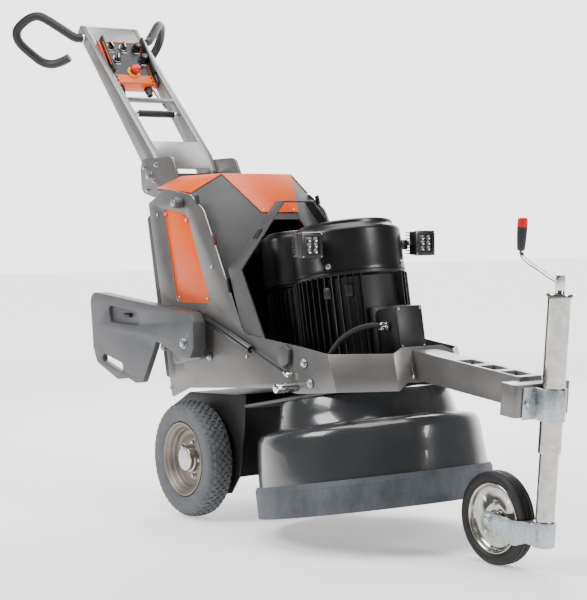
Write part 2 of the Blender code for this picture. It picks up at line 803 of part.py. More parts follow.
def build_handle_mount(root, paint):
    """Two ears on a cross beam, with the pin that the handle tilts on."""
    pivot = PIVOT.translation
    ear = rounded(
        [
            (-0.510, 1.161, 0.020),
            (-0.311, 1.161, 0.030),
            (-0.283, 1.111),
            (-0.2505, 0.985),
            (-0.2505, 0.932),
            (-0.266, 0.932),
            (-0.268, 0.994),
            (-0.300, 1.005),
            (-0.366, 1.014),
            (-0.438, 1.027, 0.020),
            (-0.519, 1.046, 0.030),
            (-0.526, 1.128, 0.020),
        ]
    )
    inner = RAIL_OUTER + 0.0015
    low, high = across(-1, inner, inner + 0.008)
    mount = add_object("handle_mount", prism(ear, low, high), paint, UPRIGHT, root)
    low, high = across(1, inner, inner + 0.008)
    combine(mount, add_object("ear_tool", prism(ear, low, high), None, UPRIGHT, root), "UNION")
    inside = HALF_WIDTH - SHEET - GAP
    beam = prism(rectangle(-0.266, -0.2505, 0.932, 0.985), -inside, inside)
    combine(mount, add_object("beam_tool", beam, None, UPRIGHT, root), "UNION")
    reach = inner + 0.016
    pin = turned([(0, -reach), (0.010, -reach), (0.010, reach), (0, reach)], SMALL_ROUND)
    combine(mount, add_object("pin_tool", pin, None, frame_at(pivot.x, 0, pivot.z, UPRIGHT), root), "UNION")


def build_handle(root, light, rubber, chrome, orange, black, red):
    """Tilting handle: two rails, top and lower covers, crossbar, grips, control box and its controls."""
    tilt = add_empty("handle_tilt", PIVOT, root)
    inner = RAIL_OUTER - RAIL_WIDTH
    rail = rounded(
        [
            (0, 0, 0.006),
            (0.717, 0),
            (0.790, -0.018, 0.015),
            (0.800, -0.078, 0.020),
            (0.740, -0.098, 0.020),
            (0.668, -0.070),
            (0, -0.036, 0.006),
        ]
    )
    hole = circle(0.0105, PIVOT_DOWN, PIVOT_BEHIND)
    upright_handle = HANDLE @ UPRIGHT
    low, high = across(-1, inner, RAIL_OUTER)
    frame = add_object("handle_frame", prism(rail, low, high, [hole]), light, upright_handle, tilt)
    low, high = across(1, inner, RAIL_OUTER)
    other = add_object("rail_tool", prism(rail, low, high, [hole]), None, upright_handle, tilt)
    combine(frame, other, "UNION")
    span = inner + 0.002
    low, high = across(1, -span, span)
    top = rounded([(0.001, -0.0005, 0.006), (0.093, -0.0005), (0.093, -0.038), (0.001, -0.034, 0.006)])
    combine(frame, add_object("top_tool", prism(top, low, high), None, upright_handle, tilt), "UNION")
    cover = [(0.645, -0.006), (0.716, -0.006), (0.770, -0.020), (0.770, -0.016), (0.717, -0.002), (0.645, -0.002)]
    combine(frame, add_object("cover_tool", prism(cover, low, high), None, upright_handle, tilt), "UNION")
    rod = turned([(0, -span), (0.010, -span), (0.010, span), (0, span)], SMALL_ROUND)
    place_rod = HANDLE @ frame_at(0.413, 0, -0.010, UPRIGHT)
    combine(frame, add_object("crossbar_tool", rod, None, place_rod, tilt), "UNION")
    reach = inner - 0.0015
    rod = turned([(0, -reach), (0.0105, -reach), (0.0105, reach), (0, reach)], SMALL_ROUND)
    add_object("release_bar", rod, black, HANDLE @ frame_at(0.483, 0, -0.014, UPRIGHT), tilt, True)

    start = HANDLE @ Vector((0.056, 0, -0.019))
    route = [
        (start.x, RAIL_OUTER + 0.016, start.z),
        (start.x - 0.010, RAIL_OUTER + 0.036, start.z + 0.004),
        (start.x - 0.040, RAIL_OUTER + 0.074, start.z + 0.036),
        (start.x - 0.080, RAIL_OUTER + 0.118, start.z + 0.074),
        (start.x - 0.104, RAIL_OUTER + 0.142, start.z + 0.084),
        (start.x - 0.132, RAIL_OUTER + 0.164, start.z + 0.074),
        (start.x - 0.170, RAIL_OUTER + 0.183, start.z + 0.046),
        (start.x - 0.186, RAIL_OUTER + 0.183, start.z + 0.020),
        (start.x - 0.188, RAIL_OUTER + 0.167, start.z - 0.010),
        (start.x - 0.170, RAIL_OUTER + 0.128, start.z - 0.050),
        (start.x - 0.150, RAIL_OUTER + 0.096, start.z - 0.078),
        (start.x - 0.124, RAIL_OUTER + 0.068, start.z - 0.086),
        (start.x - 0.090, RAIL_OUTER + 0.044, start.z - 0.077),
        (start.x - 0.066, RAIL_OUTER + 0.030, start.z - 0.066),
    ]
    for word, sign in sides_of_machine():
        root_end = Vector((start.x, sign * (RAIL_OUTER + 0.0005), start.z))
        points = [root_end, *smooth_route([(x, sign * y, z) for x, y, z in route], 3)]
        bar(f"handlebar_{word}", points, BAR_RADIUS, rubber, Matrix.Identity(4), tilt)

    box_half = inner - 0.004
    low, high = across(1, -box_half, box_half)
    box = [(0, 0), (PANEL_LENGTH, 0), (PANEL_LENGTH + 0.014, -PANEL_DEPTH), (0.010, -PANEL_DEPTH)]
    control = add_object("control_box", prism(box, low, high), orange, PANEL @ UPRIGHT, tilt)
    stop_down = 0.150
    stop_across = 0.007
    stop = PANEL @ Matrix.Translation((stop_down, stop_across, 0))
    well = turned([(0, -0.014), (0.0125, -0.014), (0.0125, 0.010), (0, 0.010)], SMALL_ROUND)
    combine(control, add_object("stop_well", well, None, stop, tilt), "DIFFERENCE")
    button = [
        (0, -0.008),
        (0.0118, -0.008),
        (0.0118, 0.010),
        (0.018, 0.012),
        (0.020, 0.018),
        (0.018, 0.027),
        (0.008, 0.031),
        (0, 0.0315),
    ]
    add_object("emergency_stop", turned(button, 20), red, stop, tilt, True)
    for i, (down, side) in enumerate(((0.034, -0.052), (0.034, 0.000), (0.090, -0.044))):
        seat = PANEL @ Matrix.Translation((down, side, 0))
        lever = rounded([(-0.014, -0.006, 0.005), (0.014, -0.006, 0.005), (0.014, 0.006, 0.005), (-0.014, 0.006, 0.005)])
        add_object(f"selector_{i + 1}", prism(lever, 0.0005, 0.022), chrome, seat, tilt)
    for i, (down, side) in enumerate(((0.036, 0.053), (0.090, 0.063))):
        seat = PANEL @ Matrix.Translation((down, side, 0))
        knob = [(0, 0.0005), (0.0135, 0.0005), (0.0125, 0.024), (0.010, 0.026), (0, 0.026)]
        add_object(f"speed_knob_{i + 1}", turned(knob, 18), black, seat, tilt, True)


def build_weights(root, plates, paint, chrome, black):
    """Swing-over side weights with their pivot brackets and gas springs."""
    beam = rounded(
        [
            (-0.573, 0.708, 0.035),
            (0.085, 0.654, 0.020),
            (0.108, 0.625, 0.020),
            (0.108, 0.545, 0.020),
            (0.085, 0.512, 0.020),
            (0.020, 0.515, 0.020),
            (-0.085, 0.548),
            (-0.214, 0.574),
            (-0.560, 0.590, 0.030),
        ]
    )
    loop = rounded(
        [
            (-0.566, 0.640, 0.010),
            (-0.128, 0.602),
            (-0.119, 0.566),
            (-0.137, 0.532),
            (-0.215, 0.416, 0.020),
            (-0.262, 0.412, 0.012),
            (-0.308, 0.424),
            (-0.385, 0.416, 0.015),
            (-0.530, 0.466, 0.020),
            (-0.556, 0.517),
        ]
    )
    grip = rounded([(-0.488, 0.500, 0.014), (-0.348, 0.472, 0.014), (-0.348, 0.438, 0.014), (-0.488, 0.475, 0.010)])
    pocket = rounded([(-0.440, 0.664, 0.012), (-0.245, 0.650, 0.012), (-0.215, 0.602, 0.012), (-0.425, 0.606, 0.012)])
    pin_radius = 0.012
    bracket = rounded([(0.085, 0.605, 0.03), (0.085, 0.510, 0.03), (-0.100, 0.478, 0.02), (-0.100, 0.540, 0.02), (0.020, 0.605, 0.02)])
    reach = hypot(WEIGHT_X + STRUT_ARM_X - STRUT_PIN_X, WEIGHT_Z + STRUT_ARM_Z - STRUT_PIN_Z)
    for word, sign in sides_of_machine():
        pivot = frame_at(WEIGHT_X, 0, WEIGHT_Z, UPRIGHT)
        shift = Matrix.Translation((-WEIGHT_X, -WEIGHT_Z, 0))
        outer = WEIGHT_INNER + WEIGHT_THICK
        low, high = across(sign, WEIGHT_INNER, outer)
        hole = circle(pin_radius + RUN, WEIGHT_X, WEIGHT_Z)
        shape = prism(beam, low, high, [hole])
        bmesh.ops.transform(shape, matrix=shift, verts=shape.verts)
        weight = add_object(f"side_weight_{word}", shape, paint, pivot, root)
        low, high = across(sign, outer - 0.020, outer - 0.001)
        combine(weight, add_object(f"loop_tool_{word}", prism(loop, low, high, [grip]), None, UPRIGHT, root), "UNION")
        low, high = across(sign, outer - 0.012, outer + 0.010)
        combine(weight, add_object(f"pocket_tool_{word}", prism(pocket, low, high), None, UPRIGHT, root), "DIFFERENCE")
        low, high = across(sign, STRUT_LAYER + STRUT_RADIUS + 0.0005, WEIGHT_INNER + 0.010)
        stud = prism(circle(0.006, WEIGHT_X + STRUT_ARM_X, WEIGHT_Z + STRUT_ARM_Z, 12), low, high)
        combine(weight, add_object(f"stud_tool_{word}", stud, None, UPRIGHT, root), "UNION")

        low, high = across(sign, PLATE_LAYER, PLATE_LAYER + PLATE_THICK)
        plate = plates[word]
        combine(plate, add_object(f"bracket_tool_{word}", prism(bracket, low, high), None, UPRIGHT, root), "UNION")
        rods = (
            ("pivot", pin_radius, WEIGHT_X, WEIGHT_Z, PLATE_LAYER + 0.001, outer + 0.006),
            ("rest", pin_radius, -0.100, 0.5380, HALF_WIDTH - SHEET / 2, outer - 0.010),
            ("spacer", pin_radius, -0.080, 0.505, HALF_WIDTH - SHEET / 2, PLATE_LAYER + 0.002),
        )
        for label, radius, x, z, start, end in rods:
            low, high = across(sign, start, end)
            rod = prism(circle(radius, x, z, 14), low, high)
            combine(plate, add_object(f"{label}_tool_{word}", rod, None, UPRIGHT, root), "UNION")

        lean = acos((WEIGHT_Z + STRUT_ARM_Z - STRUT_PIN_Z) / reach)
        along = frame_at(STRUT_PIN_X, sign * STRUT_LAYER, STRUT_PIN_Z, turned_about_y(-lean))
        ball = 0.0085
        rod_radius = 0.004
        front = 0.204
        rod = [(0, -ball), (ball * 0.8, -ball * 0.6), (ball, 0), (ball * 0.8, ball * 0.6), (rod_radius, ball), (rod_radius, 0.400), (0, 0.400)]
        add_object(f"spring_rod_{word}", turned(rod, 12), chrome, along, root, True)
        tube = [
            (0, reach - 0.060),
            (rod_radius + RUN, reach - 0.060),
            (rod_radius + RUN, front),
            (STRUT_RADIUS, front),
            (STRUT_RADIUS, reach - 0.026),
            (rod_radius, reach - 0.016),
            (rod_radius, reach - ball),
            (ball * 0.9, reach - ball * 0.4),
            (ball * 0.9, reach + ball * 0.4),
            (0, reach + ball),
        ]
        add_object(f"spring_tube_{word}", turned(tube, 12), black, along, root, True)


def arm_root_x(height):
    """Where the sloping front wall's face crosses a height along the leaning jockey tube."""
    slope = (WALL_HIGH[0] - WALL_LOW[0]) / (WALL_HIGH[1] - WALL_LOW[1])
    start = WALL_LOW[0] - slope * WALL_LOW[1] + SHEET * hypot(1, slope) + 2 * GAP
    level = start + slope * (TUBE_FOOT_Z + height * cos(TUBE_LEAN)) - TUBE_FOOT_X - height * sin(TUBE_LEAN)
    return level / (cos(TUBE_LEAN) + slope * sin(TUBE_LEAN))


def build_arm(root, paint):
    """Box arm with a wide end bracket, square to the jockey tube."""
    face = -(TUBE_RADIUS + 0.0045)
    low_z = ARM_LOW + 0.002
    high_z = ARM_HIGH + 0.002
    outline = [
        (arm_root_x(low_z), low_z),
        (face - 0.050, ARM_LOW),
        (face - 0.050, ARM_HIGH),
        (arm_root_x(high_z), high_z),
    ]
    upright_tube = TUBE @ UPRIGHT
    low, high = across(1, -ARM_HALF_WIDTH, ARM_HALF_WIDTH)
    arm = add_object("front_arm", prism(outline, low, high), paint, upright_tube, root)
    bracket = rounded(
        [
            (face - 0.058, -BRACKET_HALF_WIDTH, 0.006),
            (face, -BRACKET_HALF_WIDTH, 0.012),
            (face, BRACKET_HALF_WIDTH, 0.012),
            (face - 0.058, BRACKET_HALF_WIDTH, 0.006),
        ]
    )
    tool = add_object("bracket_tool", prism(bracket, BRACKET_LOW, BRACKET_HIGH), None, TUBE, root)
    combine(arm, tool, "UNION")
    for i in range(3):
        start = -0.345 + 0.088 * i
        slot = prism(rectangle(start, start + 0.062, -0.030, 0.026), ARM_HIGH - 0.012, ARM_HIGH + 0.020)
        combine(arm, add_object(f"arm_slot_{i}", slot, None, TUBE, root), "DIFFERENCE")


def build_jockey(root, galvanised, tube_paint, rubber, steel, grip_paint):
    """Telescopic jockey post with its crank, strap, swivelling fork and wheel."""
    radius = TUBE_RADIUS
    bore = radius - TUBE_WALL
    cap = 0.008
    outer = [
        (bore, TUBE_BOTTOM),
        (radius, TUBE_BOTTOM),
        (radius, TUBE_TOP - cap),
        (radius + 0.005, TUBE_TOP - cap),
        (radius + 0.005, TUBE_TOP),
        (0.0105, TUBE_TOP),
        (0.0105, TUBE_TOP - cap),
        (bore, TUBE_TOP - cap),
    ]
    add_object("jockey_tube", turned(outer, 24, True), tube_paint, TUBE, root, True)
    strap_low = BRACKET_LOW - 0.005
    strap_high = BRACKET_HIGH - 0.007
    back = -(radius + 0.0040)
    wall = 0.0045
    grip = radius + 0.0010
    inner_arc = []
    outer_arc = []
    steps = 10
    for i in range(steps + 1):
        turn = -pi / 2 + pi * i / steps
        inner_arc.append((grip * cos(turn), grip * sin(turn)))
        outer_arc.append(((grip + wall) * cos(turn), (grip + wall) * sin(turn)))
    flange = radius + 0.045
    outline = [
        (back, -flange),
        (back + wall, -flange),
        (back + wall, -(grip + wall)),
        *outer_arc,
        (back + wall, grip + wall),
        (back + wall, flange),
        (back, flange),
        (back, grip),
        *reversed(inner_arc),
        (back, -grip),
    ]
    add_object("tube_strap", prism(outline, strap_low, strap_high), galvanised, TUBE, root)

    lift = add_empty("jockey_lift", TUBE, root)
    slide = bore - RUN
    inner = [
        (0, 0.066),
        (slide, 0.066),
        (slide, TUBE_TOP - cap - JOCKEY_LIFT - 0.006),
        (0.014, TUBE_TOP - cap - JOCKEY_LIFT - 0.006),
        (0.014, 0.300),
        (0, 0.300),
    ]
    add_object("jockey_leg", turned(inner, 24), tube_paint, TUBE, lift, True)

    spindle = 0.0100
    crank_start = TUBE_TOP - cap - JOCKEY_LIFT + 0.175
    points = [
        (0, 0, crank_start - 0.060),
        (0, 0, TUBE_TOP + 0.002),
        (0, 0, TUBE_TOP + 0.003),
        (0, 0, TUBE_TOP + 0.030),
        (0, 0, TUBE_TOP + 0.031),
        (-0.012, 0, TUBE_TOP + 0.038),
        (-0.070, 0, TUBE_TOP + 0.056),
        (-0.138, 0, TUBE_TOP + 0.075),
        (-0.150, 0, TUBE_TOP + 0.084),
        (-0.152, 0, TUBE_TOP + 0.094),
        (-0.1521, 0, TUBE_TOP + 0.0945),
        (-0.1525, 0, TUBE_TOP + 0.150),
        (-0.1526, 0, TUBE_TOP + 0.172),
        (-0.1526, 0, TUBE_TOP + 0.180),
    ]
    widths = [1.0, 1.0, 1.6, 1.6, 0.7, 0.6, 0.6, 0.6, 0.6, 0.6, 1.1, 1.35, 1.3, 0.9]
    bar("jockey_crank", points, spindle, grip_paint, TUBE, root, widths, 3)

    swivel = add_empty("fork_swivel", TUBE, lift)
    axle = (TUBE.inverted() @ Vector((TUBE_FOOT_X - JOCKEY_TRAIL, 0, JOCKEY_RADIUS)))
    half = JOCKEY_WIDTH / 2 + 0.004
    plate = 0.006
    sleeve = turned([(0, 0.0), (radius, 0.0), (radius, 0.0655), (0, 0.0655)], 24)
    fork = add_object("jockey_fork", sleeve, galvanised, TUBE, swivel, True)
    cheek = rounded(
        [
            (axle.x - 0.022, axle.z - 0.018, 0.015),
            (-0.075, axle.z - 0.048, 0.03),
            (-0.030, 0.004),
            (0.004, 0.004),
            (0.004, 0.060),
            (-0.036, 0.060),
            (-0.085, axle.z + 0.018, 0.03),
            (axle.x - 0.022, axle.z + 0.020, 0.015),
        ]
    )
    wheel_front = axle.x + JOCKEY_RADIUS + 0.004
    for word, sign in sides_of_machine():
        low, high = across(sign, half, half + plate)
        combine(fork, add_object(f"cheek_tool_{word}", prism(cheek, low, high), None, TUBE @ UPRIGHT, swivel), "UNION")
    web = prism(rectangle(wheel_front, 0.004, 0.006, 0.058), -half - 0.001, half + 0.001)
    combine(fork, add_object("web_tool", web, None, TUBE @ UPRIGHT, swivel), "UNION")
    pin = prism(circle(0.008, axle.x, axle.z, 12), -half - plate - 0.006, half + plate + 0.006)
    combine(fork, add_object("axle_tool", pin, None, TUBE @ UPRIGHT, swivel), "UNION")

    hub = frame_at(TUBE_FOOT_X - JOCKEY_TRAIL, 0, JOCKEY_RADIUS, UPRIGHT)
    side = JOCKEY_WIDTH / 2
    bead = JOCKEY_RIM_RADIUS + GAP
    tyre = [(bead, -side * 0.70), (bead + 0.010, -side), (JOCKEY_RADIUS - 0.010, -side * 0.92), (JOCKEY_RADIUS, -side * 0.45)]
    tyre = tyre + [(r, -z) for r, z in reversed(tyre)]
    add_object("jockey_tyre", turned(tyre, 36, True), rubber, hub, swivel, True)
    rim = [
        (JOCKEY_RIM_RADIUS, -side * 0.80),
        (JOCKEY_RIM_RADIUS, side * 0.80),
        (JOCKEY_RIM_RADIUS - 0.005, side * 0.80),
        (JOCKEY_RIM_RADIUS - 0.009, 0.002),
        (0.028, 0.002),
        (0.022, side * 0.95),
        (0.008 + RUN, side * 0.95),
        (0.008 + RUN, -side * 0.95),
        (0.022, -side * 0.95),
        (0.028, -0.002),
        (JOCKEY_RIM_RADIUS - 0.009, -0.002),
        (JOCKEY_RIM_RADIUS - 0.005, -side * 0.80),
    ]
    add_object("jockey_rim", turned(rim, 36, True), steel, hub, swivel, True)


def build_lines(root, rubber, black):
    """Dust hose from the head to the body, and the main motor's cable."""
    port = HEAD @ Vector((-(SKIRT_RADIUS - SKIRT_SHEET), 0, 0.150))
    hose = [(port.x - 0.010, 0, port.z), (port.x - 0.020, 0, port.z), (port.x - 0.040, 0, port.z), (0.1895, 0, port.z)]
    bar("dust_hose", hose, 0.032, rubber, Matrix.Identity(4), root, resolution=2)
    cable = [
        (0.751, -0.0536, 0.628),
        (0.751, -0.075, 0.630),
        (0.744, -0.105, 0.632),
        (0.722, -0.140, 0.622),
        (0.695, -0.170, 0.598),
        (0.676, -0.190, 0.566),
        (0.664, -0.203, 0.532),
        (0.658, -0.210, 0.490),
        (0.656, -0.212, 0.449),
    ]
    bar("motor_cable", smooth_route(cable, 3), 0.0085, black, Matrix.Identity(4), root, resolution=2)


def centre_on_floor(root):
    """Moves the machine so that its box's bottom centre is the origin."""
    bpy.context.view_layer.update()
    graph = bpy.context.evaluated_depsgraph_get()
    lows = Vector((1e9, 1e9, 1e9))
    highs = -lows
    for item in bpy.data.objects:
        if item.type == "EMPTY" or item.hide_render:
            continue
        shape = item.evaluated_get(graph).to_mesh()
        for vert in shape.vertices:
            point = item.matrix_world @ vert.co
            lows = Vector(map(min, lows, point))
            highs = Vector(map(max, highs, point))
    middle = (lows + highs) / 2
    root.matrix_world = Matrix.Translation((-middle.x, -middle.y, -lows.z))
    bpy.context.view_layer.update()


def main():
    clear_scene()
    frame_grey = finish("grey_powder_coat", "8d8b8a", 0.45, 0.3)
    light_grey = finish("silver_powder_coat", "bcbcbc", 0.40, 0.3)
    charcoal = finish("charcoal_coat", "4b4b4c", 0.55)
    gloss_grey = finish("gloss_charcoal_abs", "3e3f41", 0.25)
    orange = finish("orange_coat", "f26a21", 0.45)
    motor_black = finish("black_enamel", "161616", 0.45)
    rubber = finish("black_rubber", "1f1d1e", 0.7)
    skirt_rubber = finish("grey_skirt_rubber", "5a6068", 0.7)
    tyre_grey = finish("grey_tyre_rubber", "6d7073", 0.8)
    rim_grey = finish("warm_grey_rim_paint", "8c8279", 0.5, 0.2)
    galvanised = finish("zinc_plate", "b9c0c4", 0.4, 0.9)
    tube_steel = finish("plated_tube", "b8b5b0", 0.3, 0.9)
    chrome = finish("chrome_plate", "d8dadc", 0.12, 1.0)
    iron = finish("cast_iron_grey", "3a3a3b", 0.6, 0.5)
    cabinet_grey = finish("cabinet_plastic", "a9abad", 0.5)
    door_grey = finish("door_plastic", "474749", 0.5)
    orange_housing = finish("orange_housing", "f26a21", 0.4)
    red = finish("red_button", "d8222a", 0.35)

    root = add_empty("grinder", Matrix.Identity(4))
    plates = build_side_plates(root, frame_grey, orange)
    build_front_wall(root, frame_grey)
    build_deck(root, charcoal)
    build_rear_axle(root, iron, charcoal)
    build_rear_wheels(root, tyre_grey, rim_grey)
    build_head(root, gloss_grey, skirt_rubber, iron, tube_steel)
    build_motors(root, motor_black, tube_steel, rubber)
    build_body(root, charcoal, orange, cabinet_grey, door_grey)
    build_handle_mount(root, frame_grey)
    build_handle(root, light_grey, rubber, chrome, orange_housing, motor_black, red)
    build_weights(root, plates, charcoal, chrome, motor_black)
    build_arm(root, frame_grey)
    build_jockey(root, galvanised, tube_steel, rubber, galvanised, motor_black)
    build_lines(root, rubber, motor_black)
    centre_on_floor(root)


main()
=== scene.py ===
"""Looks of a walk-behind concrete floor grinder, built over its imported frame.

Every piece is placed from the frame's joints and node boxes. Lengths are metres.
"""

import json
from math import cos, pi, radians, sin

import bpy
from bpy.props import FloatProperty, FloatVectorProperty, IntProperty, PointerProperty
from mathutils import Matrix, Vector

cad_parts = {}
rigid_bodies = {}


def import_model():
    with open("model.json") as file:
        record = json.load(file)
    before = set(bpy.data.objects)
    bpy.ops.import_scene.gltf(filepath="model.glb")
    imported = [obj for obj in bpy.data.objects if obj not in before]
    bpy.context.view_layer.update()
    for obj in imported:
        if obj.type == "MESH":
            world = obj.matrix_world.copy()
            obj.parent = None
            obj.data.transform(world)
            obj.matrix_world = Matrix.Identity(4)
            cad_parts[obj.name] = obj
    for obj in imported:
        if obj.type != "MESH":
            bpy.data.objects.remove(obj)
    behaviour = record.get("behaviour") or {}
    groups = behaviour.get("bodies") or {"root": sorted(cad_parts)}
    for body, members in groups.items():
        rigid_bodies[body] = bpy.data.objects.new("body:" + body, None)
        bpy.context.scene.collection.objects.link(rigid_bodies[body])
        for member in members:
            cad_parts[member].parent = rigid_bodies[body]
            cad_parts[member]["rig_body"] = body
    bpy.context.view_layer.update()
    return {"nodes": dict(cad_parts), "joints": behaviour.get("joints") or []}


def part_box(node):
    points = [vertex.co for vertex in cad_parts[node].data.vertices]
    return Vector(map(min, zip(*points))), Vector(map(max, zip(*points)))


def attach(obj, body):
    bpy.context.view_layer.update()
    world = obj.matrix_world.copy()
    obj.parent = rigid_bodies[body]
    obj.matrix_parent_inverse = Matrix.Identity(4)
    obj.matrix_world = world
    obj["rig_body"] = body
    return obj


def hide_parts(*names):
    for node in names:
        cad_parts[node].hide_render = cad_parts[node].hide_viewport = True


bl_info = {
    "name": "Floor Grinder",
    "version": (1, 0, 0),
    "blender": (4, 5, 0),
    "location": "3D View > Sidebar > Grinder",
    "description": "Builds the looks of a walk-behind concrete floor grinder over its frame",
    "category": "Add Mesh",
}

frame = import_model()


# Places read from the frame


def joint_place(name):
    """Matrix with its origin on a joint and its Z along the joint's axis."""
    joint = next(j for j in frame["joints"] if j["name"] == name)
    return axis_frame(joint["pos_m"], joint["axis"])


def axis_frame(origin, axis, towards=(1, 0, 0)):
    up = Vector(axis).normalized()
    ahead = Vector(towards)
    ahead = (ahead - up * ahead.dot(up)).normalized()
    side = up.cross(ahead)
    turn = Matrix((ahead, side, up)).transposed().to_4x4()
    return Matrix.Translation(origin) @ turn


def joint_axis(name):
    return Vector(next(j for j in frame["joints"] if j["name"] == name)["axis"]).normalized()


def joint_point(name):
    return Vector(next(j for j in frame["joints"] if j["name"] == name)["pos_m"])


AXLE = joint_point("rear_wheel_spin_right")
HEAD = joint_place("planet_spin")
PLANET = joint_place("planet_rotor_spin")
TUBE = joint_place("crank_turn")
SLOPE = -joint_axis("release_pull")
PANEL_UP = joint_axis("selector_turn_1")
SIDES = (("right", -1), ("left", 1))

# Sizes that several pieces share, in metres

SMOOTH_ANGLE = 32  # degrees: edges sharper than this stay crisp
RAIL_FACE = 0.120  # outer face of each handle rail, from the middle
EAR_FACE = RAIL_FACE + 0.0096  # outer face of the handle's pivot ears
PANEL_START = 0.034  # the first switch, down from the control box's upper edge
PANEL_LENGTH = 0.205
STOP_PLACE = (0.150, 0.007)  # the emergency stop, down and across the box
MOTOR_BASE = 0.3466  # above the head's plane
MOTOR_TOP = 0.6885
TERMINAL_FRONT = 0.1728  # the terminal box's seat, ahead of the motor's axis
SPRING_LENGTH = 0.5164  # a gas spring's pin to its eye, at rest
CRANK_REACH = -0.1526  # the crank grip, from the post's axis


def design(x, y, z):
    """Point given ahead of the rear axle, to the left and above the floor."""
    return Vector((AXLE.x + x, y, z))


def on_side(x, z, sign, reach):
    """Place on a side plate, with Z pointing outwards."""
    return axis_frame(design(x, sign * reach, z), (0, sign, 0))


# Colour


def linear(channel):
    return channel / 12.92 if channel <= 0.04045 else ((channel + 0.055) / 1.055) ** 2.4


def colour(hex_value):
    channels = [linear(int(hex_value[i : i + 2], 16) / 255) for i in (1, 3, 5)]
    return (*channels, 1.0)


# Materials


def add_node(tree, kind, settings=None, links=None):
    """Adds one node, sets its inputs and attributes, and links other nodes' outputs into it."""
    node = tree.nodes.new(kind)
    for key, value in (settings or {}).items():
        if isinstance(key, int) or key in node.inputs:
            node.inputs[key].default_value = value
        else:
            setattr(node, key, value)
    for key, source in (links or {}).items():
        tree.links.new(source, node.inputs[key])
    return node


def grain(
    name, light, dark, roughness, metallic, grain_mm, depth_mm, patch_mm=60.0, spread=0.06, coat=0.0
):
    """Finish with soft colour patches, a fine surface grain and uneven gloss."""
    material = bpy.data.materials.new(name)
    material.use_nodes = True
    tree = material.node_tree
    shader = tree.nodes["Principled BSDF"]
    place = add_node(tree, "ShaderNodeTexCoord")
    patches = add_node(
        tree, "ShaderNodeTexNoise", {
            "Scale": 1000 / patch_mm, "Detail": 5.0, "Roughness": 0.6
        }, {"Vector": place.outputs["Object"]}
    )
    fine = add_node(
        tree, "ShaderNodeTexNoise", {
            "Scale": 1000 / grain_mm, "Detail": 3.0
        }, {"Vector": place.outputs["Object"]}
    )
    ramp = add_node(tree, "ShaderNodeValToRGB", {}, {"Fac": patches.outputs["Fac"]})
    ramp.color_ramp.elements[0].position = 0.32
    ramp.color_ramp.elements[0].color = colour(dark)
    ramp.color_ramp.elements[1].position = 0.68
    ramp.color_ramp.elements[1].color = colour(light)
    speckle = add_node(
        tree, "ShaderNodeMapRange", {"To Min": 0.90, "To Max": 1.10}, {"Value": fine.outputs["Fac"]}
    )
    tint = add_node(
        tree, "ShaderNodeVectorMath", {"operation": "SCALE"},
        {0: ramp.outputs["Color"], "Scale": speckle.outputs["Result"]},
    )
    tree.links.new(tint.outputs["Vector"], shader.inputs["Base Color"])
    gloss = add_node(
        tree, "ShaderNodeMapRange",
        {"To Min": max(0.03, roughness - spread), "To Max": roughness + spread},
        {"Value": patches.outputs["Fac"]},
    )
    tree.links.new(gloss.outputs["Result"], shader.inputs["Roughness"])
    bump = add_node(
        tree, "ShaderNodeBump", {
            "Strength": 0.6, "Distance": depth_mm / 1000
        }, {"Height": fine.outputs["Fac"]}
    )
    tree.links.new(bump.outputs["Normal"], shader.inputs["Normal"])
    shader.inputs["Metallic"].default_value = metallic
    shader.inputs["Coat Weight"].default_value = coat
    material.diffuse_color = colour(light)
    return material


def spangled_zinc(name):
    """Hot-dip galvanised steel: frost-like crystals 6 mm across, each catching the light its own way."""
    material = bpy.data.materials.new(name)
    material.use_nodes = True
    tree = material.node_tree
    shader = tree.nodes["Principled BSDF"]
    place = add_node(tree, "ShaderNodeTexCoord")
    crystals = add_node(
        tree, "ShaderNodeTexVoronoi", {"Scale": 170.0}, {"Vector": place.outputs["Object"]}
    )
    clouds = add_node(
        tree, "ShaderNodeTexNoise", {"Scale": 24.0, "Detail": 6.0}, {"Vector": place.outputs["Object"]}
    )
    ramp = add_node(tree, "ShaderNodeValToRGB", {}, {"Fac": crystals.outputs["Color"]})
    ramp.color_ramp.elements[0].color = colour("#9aa0a4")
    ramp.color_ramp.elements[1].color = colour("#bcc2c6")
    tree.links.new(ramp.outputs["Color"], shader.inputs["Base Color"])
    gloss = add_node(
        tree, "ShaderNodeMapRange", {"To Min": 0.26, "To Max": 0.52}, {"Value": clouds.outputs["Fac"]}
    )
    tree.links.new(gloss.outputs["Result"], shader.inputs["Roughness"])
    bump = add_node(
        tree, "ShaderNodeBump", {"Strength": 0.3, "Distance": 0.0004},
        {"Height": crystals.outputs["Distance"]},
    )
    tree.links.new(bump.outputs["Normal"], shader.inputs["Normal"])
    shader.inputs["Metallic"].default_value = 1.0
    return material


